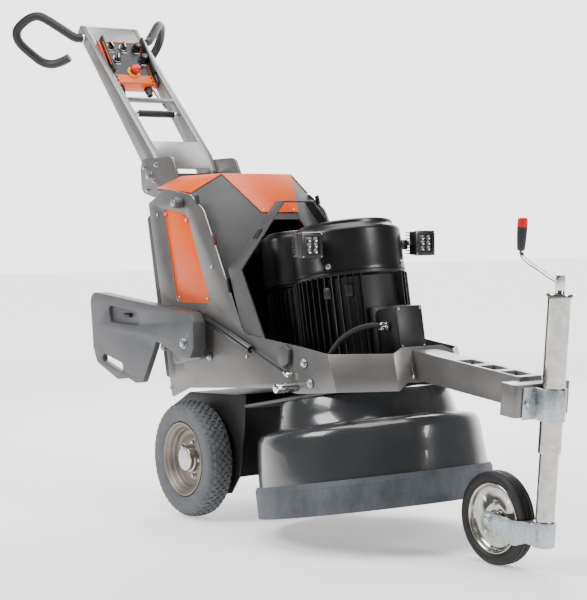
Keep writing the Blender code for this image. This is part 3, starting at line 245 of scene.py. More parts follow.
def streaked_rubber(name):
    """Skirt rubber dusted with concrete: vertical wipe marks over a blue-grey band."""
    material = bpy.data.materials.new(name)
    material.use_nodes = True
    tree = material.node_tree
    shader = tree.nodes["Principled BSDF"]
    place = add_node(tree, "ShaderNodeTexCoord")
    stretch = add_node(
        tree, "ShaderNodeMapping", {"Scale": (1.0, 1.0, 0.6)}, {"Vector": place.outputs["Object"]}
    )
    marks = add_node(
        tree, "ShaderNodeTexNoise", {
            "Scale": 13.0, "Detail": 9.0, "Roughness": 0.68
        }, {"Vector": stretch.outputs["Vector"]}
    )
    ramp = add_node(tree, "ShaderNodeValToRGB", {}, {"Fac": marks.outputs["Fac"]})
    ramp.color_ramp.elements[0].position = 0.34
    ramp.color_ramp.elements[0].color = colour("#34383d")
    ramp.color_ramp.elements[1].position = 0.70
    ramp.color_ramp.elements[1].color = colour("#555a61")
    tree.links.new(ramp.outputs["Color"], shader.inputs["Base Color"])
    gloss = add_node(
        tree, "ShaderNodeMapRange", {"To Min": 0.45, "To Max": 0.8}, {"Value": marks.outputs["Fac"]}
    )
    tree.links.new(gloss.outputs["Result"], shader.inputs["Roughness"])
    bump = add_node(
        tree, "ShaderNodeBump", {"Strength": 0.5, "Distance": 0.0008}, {"Height": marks.outputs["Fac"]}
    )
    tree.links.new(bump.outputs["Normal"], shader.inputs["Normal"])
    return material


def studio_sweep(name):
    """Matt white paper that runs up into the lit backdrop, brighter the farther behind the machine."""
    material = grain(name, "#f6f6f6", "#f2f2f2", 0.8, 0.0, 4.0, 0.01, 900.0, 0.02)
    tree = material.node_tree
    shader = tree.nodes["Principled BSDF"]
    place = add_node(tree, "ShaderNodeTexCoord")
    behind = add_node(
        tree, "ShaderNodeVectorMath", {
            "operation": "DOT_PRODUCT", 1: (-0.82, 0.57, 0.0)
        }, {0: place.outputs["Object"]}
    )
    glow = add_node(
        tree, "ShaderNodeMapRange", {"From Min": -1.0, "From Max": 7.0, "To Min": 0.42, "To Max": 2.3},
        {"Value": behind.outputs["Value"]},
    )
    tree.links.new(glow.outputs["Result"], shader.inputs["Emission Strength"])
    shader.inputs["Emission Color"].default_value = (1, 1, 1, 1)
    return material


FINISHES = {}


def make_finishes(paints):
    """Every finish on the machine, from its common name and how its surface was made."""
    orange = "#{:02x}{:02x}{:02x}".format(*(round(255 * c) for c in paints.orange))
    grey = "#{:02x}{:02x}{:02x}".format(*(round(255 * c) for c in paints.frame_grey))
    FINISHES.update(
        # Powder coat over laser-cut steel: a soft metallic sheen with fine orange peel
        frame_coat=grain("metallic_grey_powder_coat", grey, "#6b6967", 0.34, 0.6, 1.2, 0.05, 180.0),
        # The same coat on the handle, a little lighter and smoother
        rail_coat=grain("silver_powder_coat", "#8e8d8c", "#807f7e", 0.32, 0.6, 1.0, 0.04, 180.0),
        # Textured powder coat on the dark covers: an even leather-like grain about 0.8 mm across
        charcoal_coat=grain("charcoal_texture_coat", "#464647", "#3b3b3c", 0.46, 0.1, 0.8, 0.12, 150.0),
        # Laser-cut edge under the same coat, drawn much lighter and more metallic than the plate: a
        # painted highlight along the edge
        cut_edge=grain("bright_cut_edge", "#d6d5d3", "#c2c1bf", 0.28, 0.8, 1.0, 0.02, 60.0),
        # Semi-matt sheet paint in the machine's signal colour
        orange_coat=grain("orange_powder_coat", orange, "#da4e02", 0.36, 0.0, 1.0, 0.04, 160.0),
        # ABS moulding over the head: dark gloss with soft-edged highlights
        gloss_cover=grain(
            "gloss_grey_abs", "#37383a", "#2f3032", 0.22, 0.1, 2.5, 0.012, 220.0, 0.04, 0.5
        ),
        # Enamel over castings: black, slightly rough from the sand mould
        motor_enamel=grain("black_motor_enamel", "#111112", "#0a0a0b", 0.40, 0.0, 1.6, 0.12, 60.0),
        # Enamel on pressed sheet: smoother than on castings, so it carries long highlights
        cowl_enamel=grain("black_sheet_enamel", "#131314", "#0d0d0e", 0.30, 0.0, 1.2, 0.04, 120.0),
        # Coat over the weights and buffers, which reads as graphite
        weight_coat=grain("graphite_powder_coat", "#555658", "#48494b", 0.42, 0.3, 1.0, 0.1, 140.0),
        # Natural rubber: matt, faintly dusty
        grip_rubber=grain("black_grip_rubber", "#0c0b0b", "#070707", 0.52, 0.0, 0.7, 0.01, 40.0),
        tyre_rubber=grain("grey_non_marking_rubber", "#5c5e61", "#4c4e51", 0.74, 0.0, 1.4, 0.1, 30.0),
        black_tyre=grain("black_solid_rubber", "#0b0a0a", "#070606", 0.58, 0.0, 1.0, 0.02, 30.0),
        # Skirt band in blue-grey rubber, streaked with dust
        skirt=streaked_rubber("dusty_skirt_rubber"),
        # Warm grey paint over pressed steel wheels, worn unevenly
        rim_paint=grain(
            "warm_grey_wheel_paint", "#8a8078", "#766d65", 0.42, 0.5, 1.5, 0.08, 50.0, 0.08
        ),
        # Galvanised strap and fork, with large crystals
        zinc=spangled_zinc("spangled_zinc"),
        # Bright electroplated tube: drawn steel under thin zinc, lightly brushed
        tube_plate=grain("bright_zinc_tube", "#c2beb8", "#a3a09a", 0.16, 0.95, 0.9, 0.015, 26.0, 0.08),
        # Chrome plate: near-mirror, with only faint waviness
        chrome=grain("chrome_plate", "#dcdee0", "#cfd1d4", 0.10, 1.0, 1.5, 0.004, 70.0, 0.03),
        # Zinc plate on fasteners: bright, slightly milky
        bolt=grain("zinc_plated_bolt", "#c3c6c9", "#a8abae", 0.28, 0.9, 0.8, 0.02, 12.0, 0.08),
        # Moulded and painted black fittings with a soft sheen
        satin_black=grain("satin_black_plastic", "#151516", "#0e0e0f", 0.42, 0.0, 0.9, 0.04, 60.0),
        # Printed foil on the control face: even anthracite, hardly any grain
        panel_face=grain("anthracite_panel_foil", "#2e2f31", "#27282a", 0.42, 0.0, 0.6, 0.03, 90.0),
        # Rough castings under thin paint
        iron=grain("painted_cast_iron", "#343435", "#29292a", 0.55, 0.2, 2.2, 0.25, 40.0),
        # Coloured mouldings and the white print, clean and even
        red=grain("red_moulded_plastic", "#cc1218", "#b50d13", 0.3, 0.0, 1.0, 0.01, 40.0),
        yellow=grain("yellow_moulded_plastic", "#f2c21c", "#e5b414", 0.4, 0.0, 1.0, 0.01, 40.0),
        white_mark=grain("white_pad_print", "#e9e9e6", "#dededb", 0.5, 0.0, 0.8, 0.01, 40.0),
        # Dark red moulding, matt
        brown_tab=grain("dark_red_plastic", "#4a1d18", "#3a1512", 0.5, 0.0, 1.0, 0.03, 40.0),
        # Bright lamp reflectors and their dark bezel
        lens=grain("moulded_lamp_lens", "#85888c", "#3f4246", 0.16, 0.5, 3.0, 0.05, 8.0, 0.06, 0.5),
        lens_bezel=grain("lamp_bezel_enamel", "#151516", "#0e0e0f", 0.35, 0.0, 0.8, 0.03, 40.0),
    )


# Modelling


def turned(angle, axis="Z"):
    return Matrix.Rotation(angle, 4, axis)


def shifted(x, y, z):
    return Matrix.Translation((x, y, z))


def clear_selection():
    if bpy.context.object and bpy.context.object.mode != "OBJECT":
        bpy.ops.object.mode_set(mode="OBJECT")
    bpy.ops.object.select_all(action="DESELECT")


def only(item):
    clear_selection()
    item.hide_set(False)
    item.select_set(True)
    bpy.context.view_layer.objects.active = item


def edit_all(item):
    only(item)
    bpy.ops.object.mode_set(mode="EDIT")
    bpy.ops.mesh.select_mode(type="VERT")
    bpy.ops.mesh.select_all(action="SELECT")


def leave_edit():
    bpy.ops.object.mode_set(mode="OBJECT")


def moved(item, place):
    """Bakes a place into the mesh, so that the object stays at the origin."""
    item.data.transform(place @ item.matrix_world)
    item.matrix_world = Matrix.Identity(4)
    return item


def rounded_edges(item, width, segments=2, angle=35):
    only(item)
    modifier = item.modifiers.new("Rounding", "BEVEL")
    modifier.width = width
    modifier.segments = segments
    modifier.limit_method = "ANGLE"
    modifier.angle_limit = radians(angle)
    modifier.use_clamp_overlap = True
    bpy.ops.object.modifier_apply(modifier=modifier.name)
    return item


def block(name, size, centre=(0, 0, 0), place=Matrix.Identity(4), bevel=0.001, segments=2):
    """Box with rounded edges."""
    clear_selection()
    bpy.ops.mesh.primitive_cube_add(size=1)
    item = bpy.context.object
    item.name = name
    edit_all(item)
    bpy.ops.transform.resize(value=size)
    if bevel:
        bpy.ops.mesh.bevel(offset=min(bevel, min(size) * 0.45), segments=segments, affect="EDGES")
    leave_edit()
    return moved(item, place @ Matrix.Translation(centre))


def spun(name, profile, place=Matrix.Identity(4), steps=64, bevel=0.0, segments=2):
    """Round piece spun about Z from its (radius, height) profile."""
    clear_selection()
    bpy.ops.mesh.primitive_plane_add(size=0.0001, location=(profile[0][0], 0, profile[0][1]))
    item = bpy.context.object
    item.name = name
    bpy.ops.object.transform_apply(location=True, rotation=False, scale=False)
    edit_all(item)
    bpy.ops.mesh.merge(type="CENTER")
    for (r0, z0), (r1, z1) in zip(profile, profile[1:]):
        bpy.ops.mesh.extrude_region_move(TRANSFORM_OT_translate={"value": (r1 - r0, 0, z1 - z0)})
    bpy.ops.mesh.select_all(action="SELECT")
    bpy.ops.mesh.spin(steps=steps, angle=2 * pi, center=(0, 0, 0), axis=(0, 0, 1))
    bpy.ops.mesh.select_all(action="SELECT")
    bpy.ops.mesh.remove_doubles(threshold=0.00002)
    bpy.ops.mesh.normals_make_consistent(inside=False)
    leave_edit()
    if bevel:
        rounded_edges(item, bevel, segments, 25)
    return moved(item, place)


def rod(name, radius, low, high, place=Matrix.Identity(4), steps=32, bevel=0.0008):
    return spun(name, [(0, low), (radius, low), (radius, high), (0, high)], place, steps, bevel)


def plate(name, outline, low, high, place=Matrix.Identity(4), bevel=0.0008):
    """Flat piece extruded from an outline in local XY."""
    clear_selection()
    x, y = outline[0]
    bpy.ops.mesh.primitive_plane_add(size=0.0001, location=(x, y, low))
    item = bpy.context.object
    item.name = name
    bpy.ops.object.transform_apply(location=True, rotation=False, scale=False)
    edit_all(item)
    bpy.ops.mesh.merge(type="CENTER")
    for (x0, y0), (x1, y1) in zip(outline, outline[1:]):
        bpy.ops.mesh.extrude_region_move(TRANSFORM_OT_translate={"value": (x1 - x0, y1 - y0, 0)})
    bpy.ops.mesh.select_all(action="SELECT")
    bpy.ops.mesh.edge_face_add()
    bpy.ops.mesh.extrude_region_move(TRANSFORM_OT_translate={"value": (0, 0, high - low)})
    bpy.ops.mesh.select_all(action="SELECT")
    bpy.ops.mesh.normals_make_consistent(inside=False)
    leave_edit()
    if bevel:
        rounded_edges(item, bevel, 2, 30)
    return moved(item, place)


def repeat(model, places, name):
    """One joined piece of a model's copies, each with its own mesh."""
    made = []
    for place in places:
        twin = model.copy()
        twin.data = model.data.copy()
        bpy.context.scene.collection.objects.link(twin)
        twin.data.transform(place)
        made.append(twin)
    bpy.data.objects.remove(model)
    return joined(made, name)


def joined(items, name):
    clear_selection()
    for item in items:
        item.select_set(True)
    bpy.context.view_layer.objects.active = items[0]
    if len(items) > 1:
        bpy.ops.object.join()
    items[0].name = name
    return items[0]


def cut(item, tool):
    only(item)
    modifier = item.modifiers.new("Cut", "BOOLEAN")
    modifier.operation = "DIFFERENCE"
    modifier.object = tool
    modifier.solver = "EXACT"
    bpy.ops.object.modifier_apply(modifier=modifier.name)
    bpy.data.objects.remove(tool)
    return item


def wear(item, finish, body, *nodes):
    """Gives a finished piece its material and smooth shading, and hangs it on its body."""
    only(item)
    bpy.ops.object.shade_smooth_by_angle(angle=radians(SMOOTH_ANGLE))
    item.data.materials.clear()
    item.data.materials.append(FINISHES[finish])
    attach(item, body)
    if nodes:
        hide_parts(*nodes)
    return item


def shaped(node, finish, width=0.0012, segments=2):
    """Copy of a plain CAD piece with its edges rounded as cutting and coating leave them."""
    source = frame["nodes"][node]
    body = source["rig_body"]
    twin = bpy.data.objects.new(f"{node}_shaped", source.data.copy())
    bpy.context.scene.collection.objects.link(twin)
    edit_all(twin)
    bpy.ops.mesh.customdata_custom_splitnormals_clear()
    bpy.ops.mesh.remove_doubles(threshold=0.00002)
    bpy.ops.mesh.dissolve_limited(angle_limit=radians(0.8))
    leave_edit()
    rounded_edges(twin, width, segments)
    return wear(twin, finish, body, node)


def show_cut_edges(item):
    """Paints the thickness of an upright plate in a lighter, glossier finish: a painted highlight along
    its cut edge.
    """
    item.data.materials.append(FINISHES["cut_edge"])
    for face in item.data.polygons:
        if abs(face.normal.y) < 0.35 and abs(face.center.y) < 0.2376:
            face.material_index = 1
    return item


def tube(name, points, radius, finish, body, *nodes, resolution=5, smooth=True):
    """Bent round bar along a smooth path."""
    data = bpy.data.curves.new(name, "CURVE")
    data.dimensions = "3D"
    data.bevel_depth = radius
    data.bevel_resolution = resolution
    data.use_fill_caps = True
    data.resolution_u = 8
    spline = data.splines.new("BEZIER")
    spline.bezier_points.add(len(points) - 1)
    for point, place in zip(spline.bezier_points, points):
        point.co = place
        point.handle_left_type = point.handle_right_type = "AUTO" if smooth else "VECTOR"
    item = bpy.data.objects.new(name, data)
    bpy.context.scene.collection.objects.link(item)
    only(item)
    bpy.ops.object.convert(target="MESH")
    item = bpy.context.object
    edit_all(item)
    bpy.ops.mesh.remove_doubles(threshold=0.00002)
    bpy.ops.mesh.normals_make_consistent(inside=False)
    leave_edit()
    return wear(item, finish, body, *nodes)


def hex_bolt(radius=0.009, height=0.006, washer=0.013):
    """Hexagon head on a washer, its underside on local Z 0."""
    base = spun(
        "washer", [(0, 0), (washer, 0), (washer, 0.0016), (0, 0.0016)], steps=28, bevel=0.0003,
        segments=1,
    )
    clear_selection()
    bpy.ops.mesh.primitive_cylinder_add(
        vertices=6, radius=radius, depth=height, location=(0, 0, height / 2 + 0.0016)
    )
    head = bpy.context.object
    bpy.ops.object.transform_apply(location=True)
    edit_all(head)
    bpy.ops.mesh.bevel(offset=0.0007, segments=2, affect="EDGES")
    leave_edit()
    return joined([base, head], "hex_bolt")


def button_screw(radius=0.0045):
    """Low domed screw with a round socket."""
    dome = spun(
        "screw",
        [
            (0, 0), (radius, 0), (radius * 0.96, radius * 0.3), (radius * 0.6, radius * 0.56),
            (radius * 0.36, radius * 0.6), (radius * 0.36, radius * 0.25), (0, radius * 0.25),
        ],
        steps=18,
    )
    return dome


# Sizes and colours a user may change


class GrinderPaints(bpy.types.PropertyGroup):
    orange: FloatVectorProperty(
        name="Orange",
        description="Signal colour of the covers and the control box",
        subtype="COLOR_GAMMA",
        size=3,
        default=(0.905, 0.345, 0.012),
        min=0,
        max=1,
    )
    frame_grey: FloatVectorProperty(
        name="Frame grey",
        description="Powder coat of the side plates and the arm",
        subtype="COLOR_GAMMA",
        size=3,
        default=(0.482, 0.475, 0.467),
        min=0,
        max=1,
    )


class GrinderSizes(bpy.types.PropertyGroup):
    edge: FloatProperty(
        name="Edge rounding",
        description="Rounding of cut sheet edges",
        unit="LENGTH",
        default=0.0012,
        min=0.0002,
        max=0.003,
    )
    tread_steps: IntProperty(
        name="Tread blocks", description="Blocks round each rear tyre", default=46, min=20, max=70
    )
    motor_fins: IntProperty(
        name="Motor fins", description="Cooling fins round the main motor", default=48, min=24, max=72
    )


class StructureOperator(bpy.types.Operator):
    """Rounds the edges of the machine's plates and gives each its coat"""

    bl_idname = "grinder.structure"
    bl_label = "Frame and covers"

    def execute(self, context):
        edge = context.scene.grinder_sizes.edge
        for word, _ in SIDES:
            # the side plates' cut edges get a painted highlight
            show_cut_edges(shaped(f"side_plate_{word}", "frame_coat", edge))
            shaped(f"side_cover_{word}", "orange_coat", 0.0006)
        for node in ("front_wall", "front_arm", "handle_mount"):
            shaped(node, "frame_coat", edge * 1.6)
        shaped("handle_frame", "rail_coat", edge * 1.6)
        for node in ("hood", "lifting_hoop", "motor_deck"):
            shaped(node, "charcoal_coat", edge)
        shaped("underbody_guard", "satin_black", edge)
        shaped("rear_door", "charcoal_coat", 0.004, 3)
        door = frame["nodes"]["rear_door"]
        upright = joint_axis("door_swing")
        outward = Vector((0, 1, 0)).cross(upright)
        outward = outward if outward.x < 0 else -outward
        skin = max((door.matrix_world @ v.co).dot(outward) for v in door.data.vertices)
        hinge = joint_point("door_swing")
        locks = []
        for along in (-0.17, 0.17):
            spot = Vector((hinge.x, -hinge.y * 0.84, hinge.z)) + upright * along
            locks.append(axis_frame(spot + outward * (skin - spot.dot(outward)), outward, upright))
        wear(
            repeat(
                spun(
                    "lock",
                    [
                        (0, 0), (0.014, 0), (0.0135, 0.0025), (0.0085, 0.003), (0.0085, 0.0015),
                        (0, 0.0015),
                    ],
                    steps=32,
                ),
                locks, "door_locks",
            ),
            "bolt", "rear_door",
        )
        shaped("hood_cover", "orange_coat", 0.0008)
        shaped("electric_cabinet", "satin_black", 0.004)
        shaped("drive_axle", "iron", 0.002)
        shaped("main_rotor", "tube_plate", 0.001)
        shaped("planet_rotor", "tube_plate", 0.001)
        shaped("planet_carrier", "iron", 0.0015)
        for i in (1, 2, 3):
            shaped(f"grinding_disc_{i}", "iron", 0.0015)
        return {"FINISHED"}


class FastenerOperator(bpy.types.Operator):
    """Adds the bolts, screws, pegs and buffers on the plates"""

    bl_idname = "grinder.fasteners"
    bl_label = "Bolts and screws"

    def execute(self, context):
        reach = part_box("front_wall")[1].y
        bolts = []
        screws = []
        for _, sign in SIDES:
            for x, z in ((0.601, 0.524), (0.629, 0.467), (0.087, 0.515)):
                bolts.append(on_side(x, z, sign, reach))
            for x, z in ((-0.174, 0.966), (-0.045, 0.944), (-0.095, 0.696), (0.076, 0.695)):
                screws.append(on_side(x, z, sign, reach - 0.0018))
            for x, z in (
                (0.107, 0.795), (-0.222, 0.964), (0.299, 0.527), (-0.156, 0.398), (0.536, 0.487)
            ):
                screws.append(on_side(x, z, sign, reach))
        wear(repeat(hex_bolt(), bolts, "frame_bolts"), "bolt", "chassis")
        wear(repeat(button_screw(0.0055), screws, "cover_screws"), "bolt", "chassis")
        for word, sign in SIDES:
            base = on_side(-0.068, 0.999, sign, reach)
            wear(rod(f"buffer_{word}", 0.017, 0, 0.030, base, 32, 0.003), "weight_coat", "chassis")
            wear(rod(f"buffer_plate_{word}", 0.012, 0.030, 0.033, base, 24), "bolt", "chassis")
            peg = on_side(0.555, 0.452, sign, reach)
            wear(rod(f"rest_peg_{word}", 0.0137, 0.001, 0.0705, peg, 32, 0.0025), "chrome", "chassis")
            lug = [
                (-0.030, -0.020), (-0.006, -0.034), (0.026, -0.020), (0.030, 0.020), (0.004, 0.034),
                (-0.026, 0.022),
            ]
            seat = on_side(0.511, 0.541, sign, reach)
            outline = [(y, x * sign) for x, y in lug] if sign > 0 else [(x, y) for x, y in lug]
            wear(plate(f"stop_lug_{word}", outline, 0, 0.013, seat, 0.003), "charcoal_coat", "chassis")
            tabs = [(0.020, 1.006, -20, 0.016, 0.030), (0.196, 0.738, -14, 0.010, 0.046)]
            for k, (x, z, tilt, wide, tall) in enumerate(tabs):
                turn = on_side(x, z, sign, reach - 0.006) @ turned(radians(tilt * sign))
                wear(
                    block(f"panel_tab_{word}_{k}", (wide, tall, 0.008), (0, 0, 0), turn, 0.002),
                    "satin_black", "chassis",
                )
            seat = on_side(0.116, 0.881, sign, reach - 0.007)
            wear(
                block(f"latch_tab_{word}", (0.018, 0.036, 0.008), (0, 0, 0), seat, 0.003), "brown_tab",
                "chassis",
            )
        clip = [
            (0.842, 0.545), (0.848, 0.520), (0.858, 0.498), (0.862, 0.486), (0.870, 0.492),
            (0.866, 0.508), (0.856, 0.530),
        ]
        tube("hitch_clip", [design(x, -0.056, z) for x, z in clip], 0.0024, "chrome", "chassis")
        nose = axis_frame(design(0.132, 0, 0.9705), (0.688, 0, 0.7257), (0, 1, 0))
        corners = [nose @ shifted(side * 0.058, 0, 0.0012) for side in (-1, 1)]
        for side in (-1, 1):
            lean = Vector((0, side * 0.5397, 0.8418))
            for x, y, z in ((-0.228, 0.150, 1.0795), (-0.075, 0.196, 1.0495), (-0.030, 0.146, 1.082)):
                corners.append(axis_frame(design(x, side * y, z) + lean * 0.0008, lean))
        wear(repeat(button_screw(0.0055), corners, "hood_screws"), "bolt", "chassis")
        return {"FINISHED"}


class WheelOperator(bpy.types.Operator):
    """Builds the rear tyres with their tread, and the rims with hub and nuts"""

    bl_idname = "grinder.rear_wheels"
    bl_label = "Rear wheels"

    def execute(self, context):
        steps = context.scene.grinder_sizes.tread_steps
        for word, sign in SIDES:
            low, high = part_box(f"rear_tyre_{word}")
            radius = (high.z - low.z) / 2
            half = (high.y - low.y) / 2
            hub = axis_frame(
                ((low.x + high.x) / 2, (low.y + high.y) / 2, (low.z + high.z) / 2), (0, sign, 0)
            )
            crown = radius - 0.0062
            bead = 0.1178
            side = [
                (bead, half * 0.70), (bead + 0.003, half * 0.84), (bead + 0.012, half * 0.93),
                (bead + 0.018, half * 0.91), (bead + 0.030, half * 0.985), (bead + 0.046, half * 0.955),
                (crown - 0.012, half * 0.90), (crown - 0.005, half * 0.66), (crown, half * 0.34),
            ]
            profile = side + [(r, -z) for r, z in reversed(side)]
            profile.append(profile[0])
            carcass = spun("carcass", profile, hub, 96)
            row_pitch, block_width, model_width = 0.0115, 0.0095, 0.0165
            outer_row = 0.0345
            rows = tuple((row_pitch * k, block_width, 0.5 * (k % 2)) for k in range(-3, 4))
            places = []
            model = block("tread_block", (0.0112, 0.0150, model_width), bevel=0.0018, segments=1)
            for i in range(steps):
                for offset, width, phase in rows:
                    turn = 2 * pi * (i + phase) / steps
                    bow = abs(offset) / outer_row
                    lift = crown - 0.0012 - 0.0105 * bow**3
                    tip = radians(38) * bow**2 * (1 if offset > 0 else -1)
                    place = (
                        turned(turn)
                        @ shifted(lift, 0, offset)
                        @ turned(-tip, "Y")
                        @ turned(radians(18 if phase else -18), "X")
                        @ Matrix.Scale(width / model_width, 4, (0, 0, 1))
                    )
                    places.append(hub @ place)
            blocks = repeat(model, places, "blocks")
            wear(
                joined([carcass, blocks], f"tyre_{word}"), "tyre_rubber", f"rear_wheel_{word}",
                f"rear_tyre_{word}",
            )

            rim_radius = 0.1172
            rim = [
                (rim_radius, half * 0.78), (rim_radius, half * 0.86), (rim_radius - 0.004, half * 0.88),
                (rim_radius - 0.008, half * 0.80), (rim_radius - 0.011, half * 0.66),
                (rim_radius - 0.016, half * 0.60), (rim_radius - 0.020, half * 0.34),
                (rim_radius - 0.024, half * 0.26), (rim_radius - 0.027, half * 0.02),
                (0.076, -half * 0.04), (0.068, half * 0.06), (0.050, half * 0.10), (0.020, half * 0.10),
                (0.020, -half * 0.30), (rim_radius - 0.026, -half * 0.30),
                (rim_radius - 0.008, -half * 0.80), (rim_radius, -half * 0.80),
                (rim_radius, half * 0.78),
            ]
            wear(
                spun(f"rim_{word}", rim, hub, 72, 0.0015), "rim_paint", f"rear_wheel_{word}",
                f"rear_rim_{word}",
            )
            cap = [
                (0.0185, half * 0.10), (0.043, half * 0.10), (0.043, half * 0.34),
                (0.0385, half * 0.36), (0.0385, half * 0.62), (0.0370, half * 0.66), (0.0, half * 0.66),
                (0.0, half * 0.60), (0.0185, half * 0.60), (0.0185, half * 0.10),
            ]
            wear(spun(f"hub_{word}", cap, hub, 48, 0.001), "tube_plate", f"rear_wheel_{word}")
            nuts = [hub @ turned(2 * pi * k / 5) @ shifted(0.056, 0, half * 0.085) for k in range(5)]
            wear(
                repeat(hex_bolt(0.0075, 0.009, 0.010), nuts, f"wheel_nuts_{word}"), "bolt",
                f"rear_wheel_{word}",
            )
        return {"FINISHED"}


class HeadOperator(bpy.types.Operator):
    """Builds the glossy cover over the grinding head and its floating skirt"""

    bl_idname = "grinder.head"
    bl_label = "Grinding head"

    def execute(self, context):
        profile = [
            (0.3415, 0.046), (0.3415, 0.094), (0.3400, 0.120), (0.3355, 0.180), (0.3320, 0.214),
            (0.3285, 0.228), (0.3210, 0.239), (0.3100, 0.245), (0.2900, 0.248), (0.2740, 0.250),
            (0.2690, 0.256), (0.2600, 0.290), (0.2520, 0.322), (0.2480, 0.331), (0.2400, 0.3350),
            (0.062, 0.3350), (0.062, 0.3312), (0.238, 0.3312), (0.246, 0.322), (0.264, 0.252),
            (0.270, 0.246), (0.308, 0.241), (0.3240, 0.228), (0.3375, 0.094), (0.3375, 0.046),
            (0.3415, 0.046),
        ]
        wear(spun("head_shell", profile, HEAD, 128), "gloss_cover", "chassis", "head_cover")
        band = [
            (0.3422, 0.002), (0.3512, 0.000), (0.3522, 0.004), (0.3522, 0.082), (0.3500, 0.0875),
            (0.3490, 0.0920), (0.3422, 0.0920), (0.3422, 0.002),
        ]
        wear(spun("skirt_band", band, HEAD, 128, 0.0006, 1), "skirt", "skirt", "floating_skirt")
        strip = [
            (0.3521, 0.0745), (0.3529, 0.0755), (0.3529, 0.0795), (0.3521, 0.0805), (0.3515, 0.0775),
            (0.3521, 0.0745),
        ]
        wear(spun("skirt_bead", strip, HEAD, 128), "skirt", "skirt")
        return {"FINISHED"}


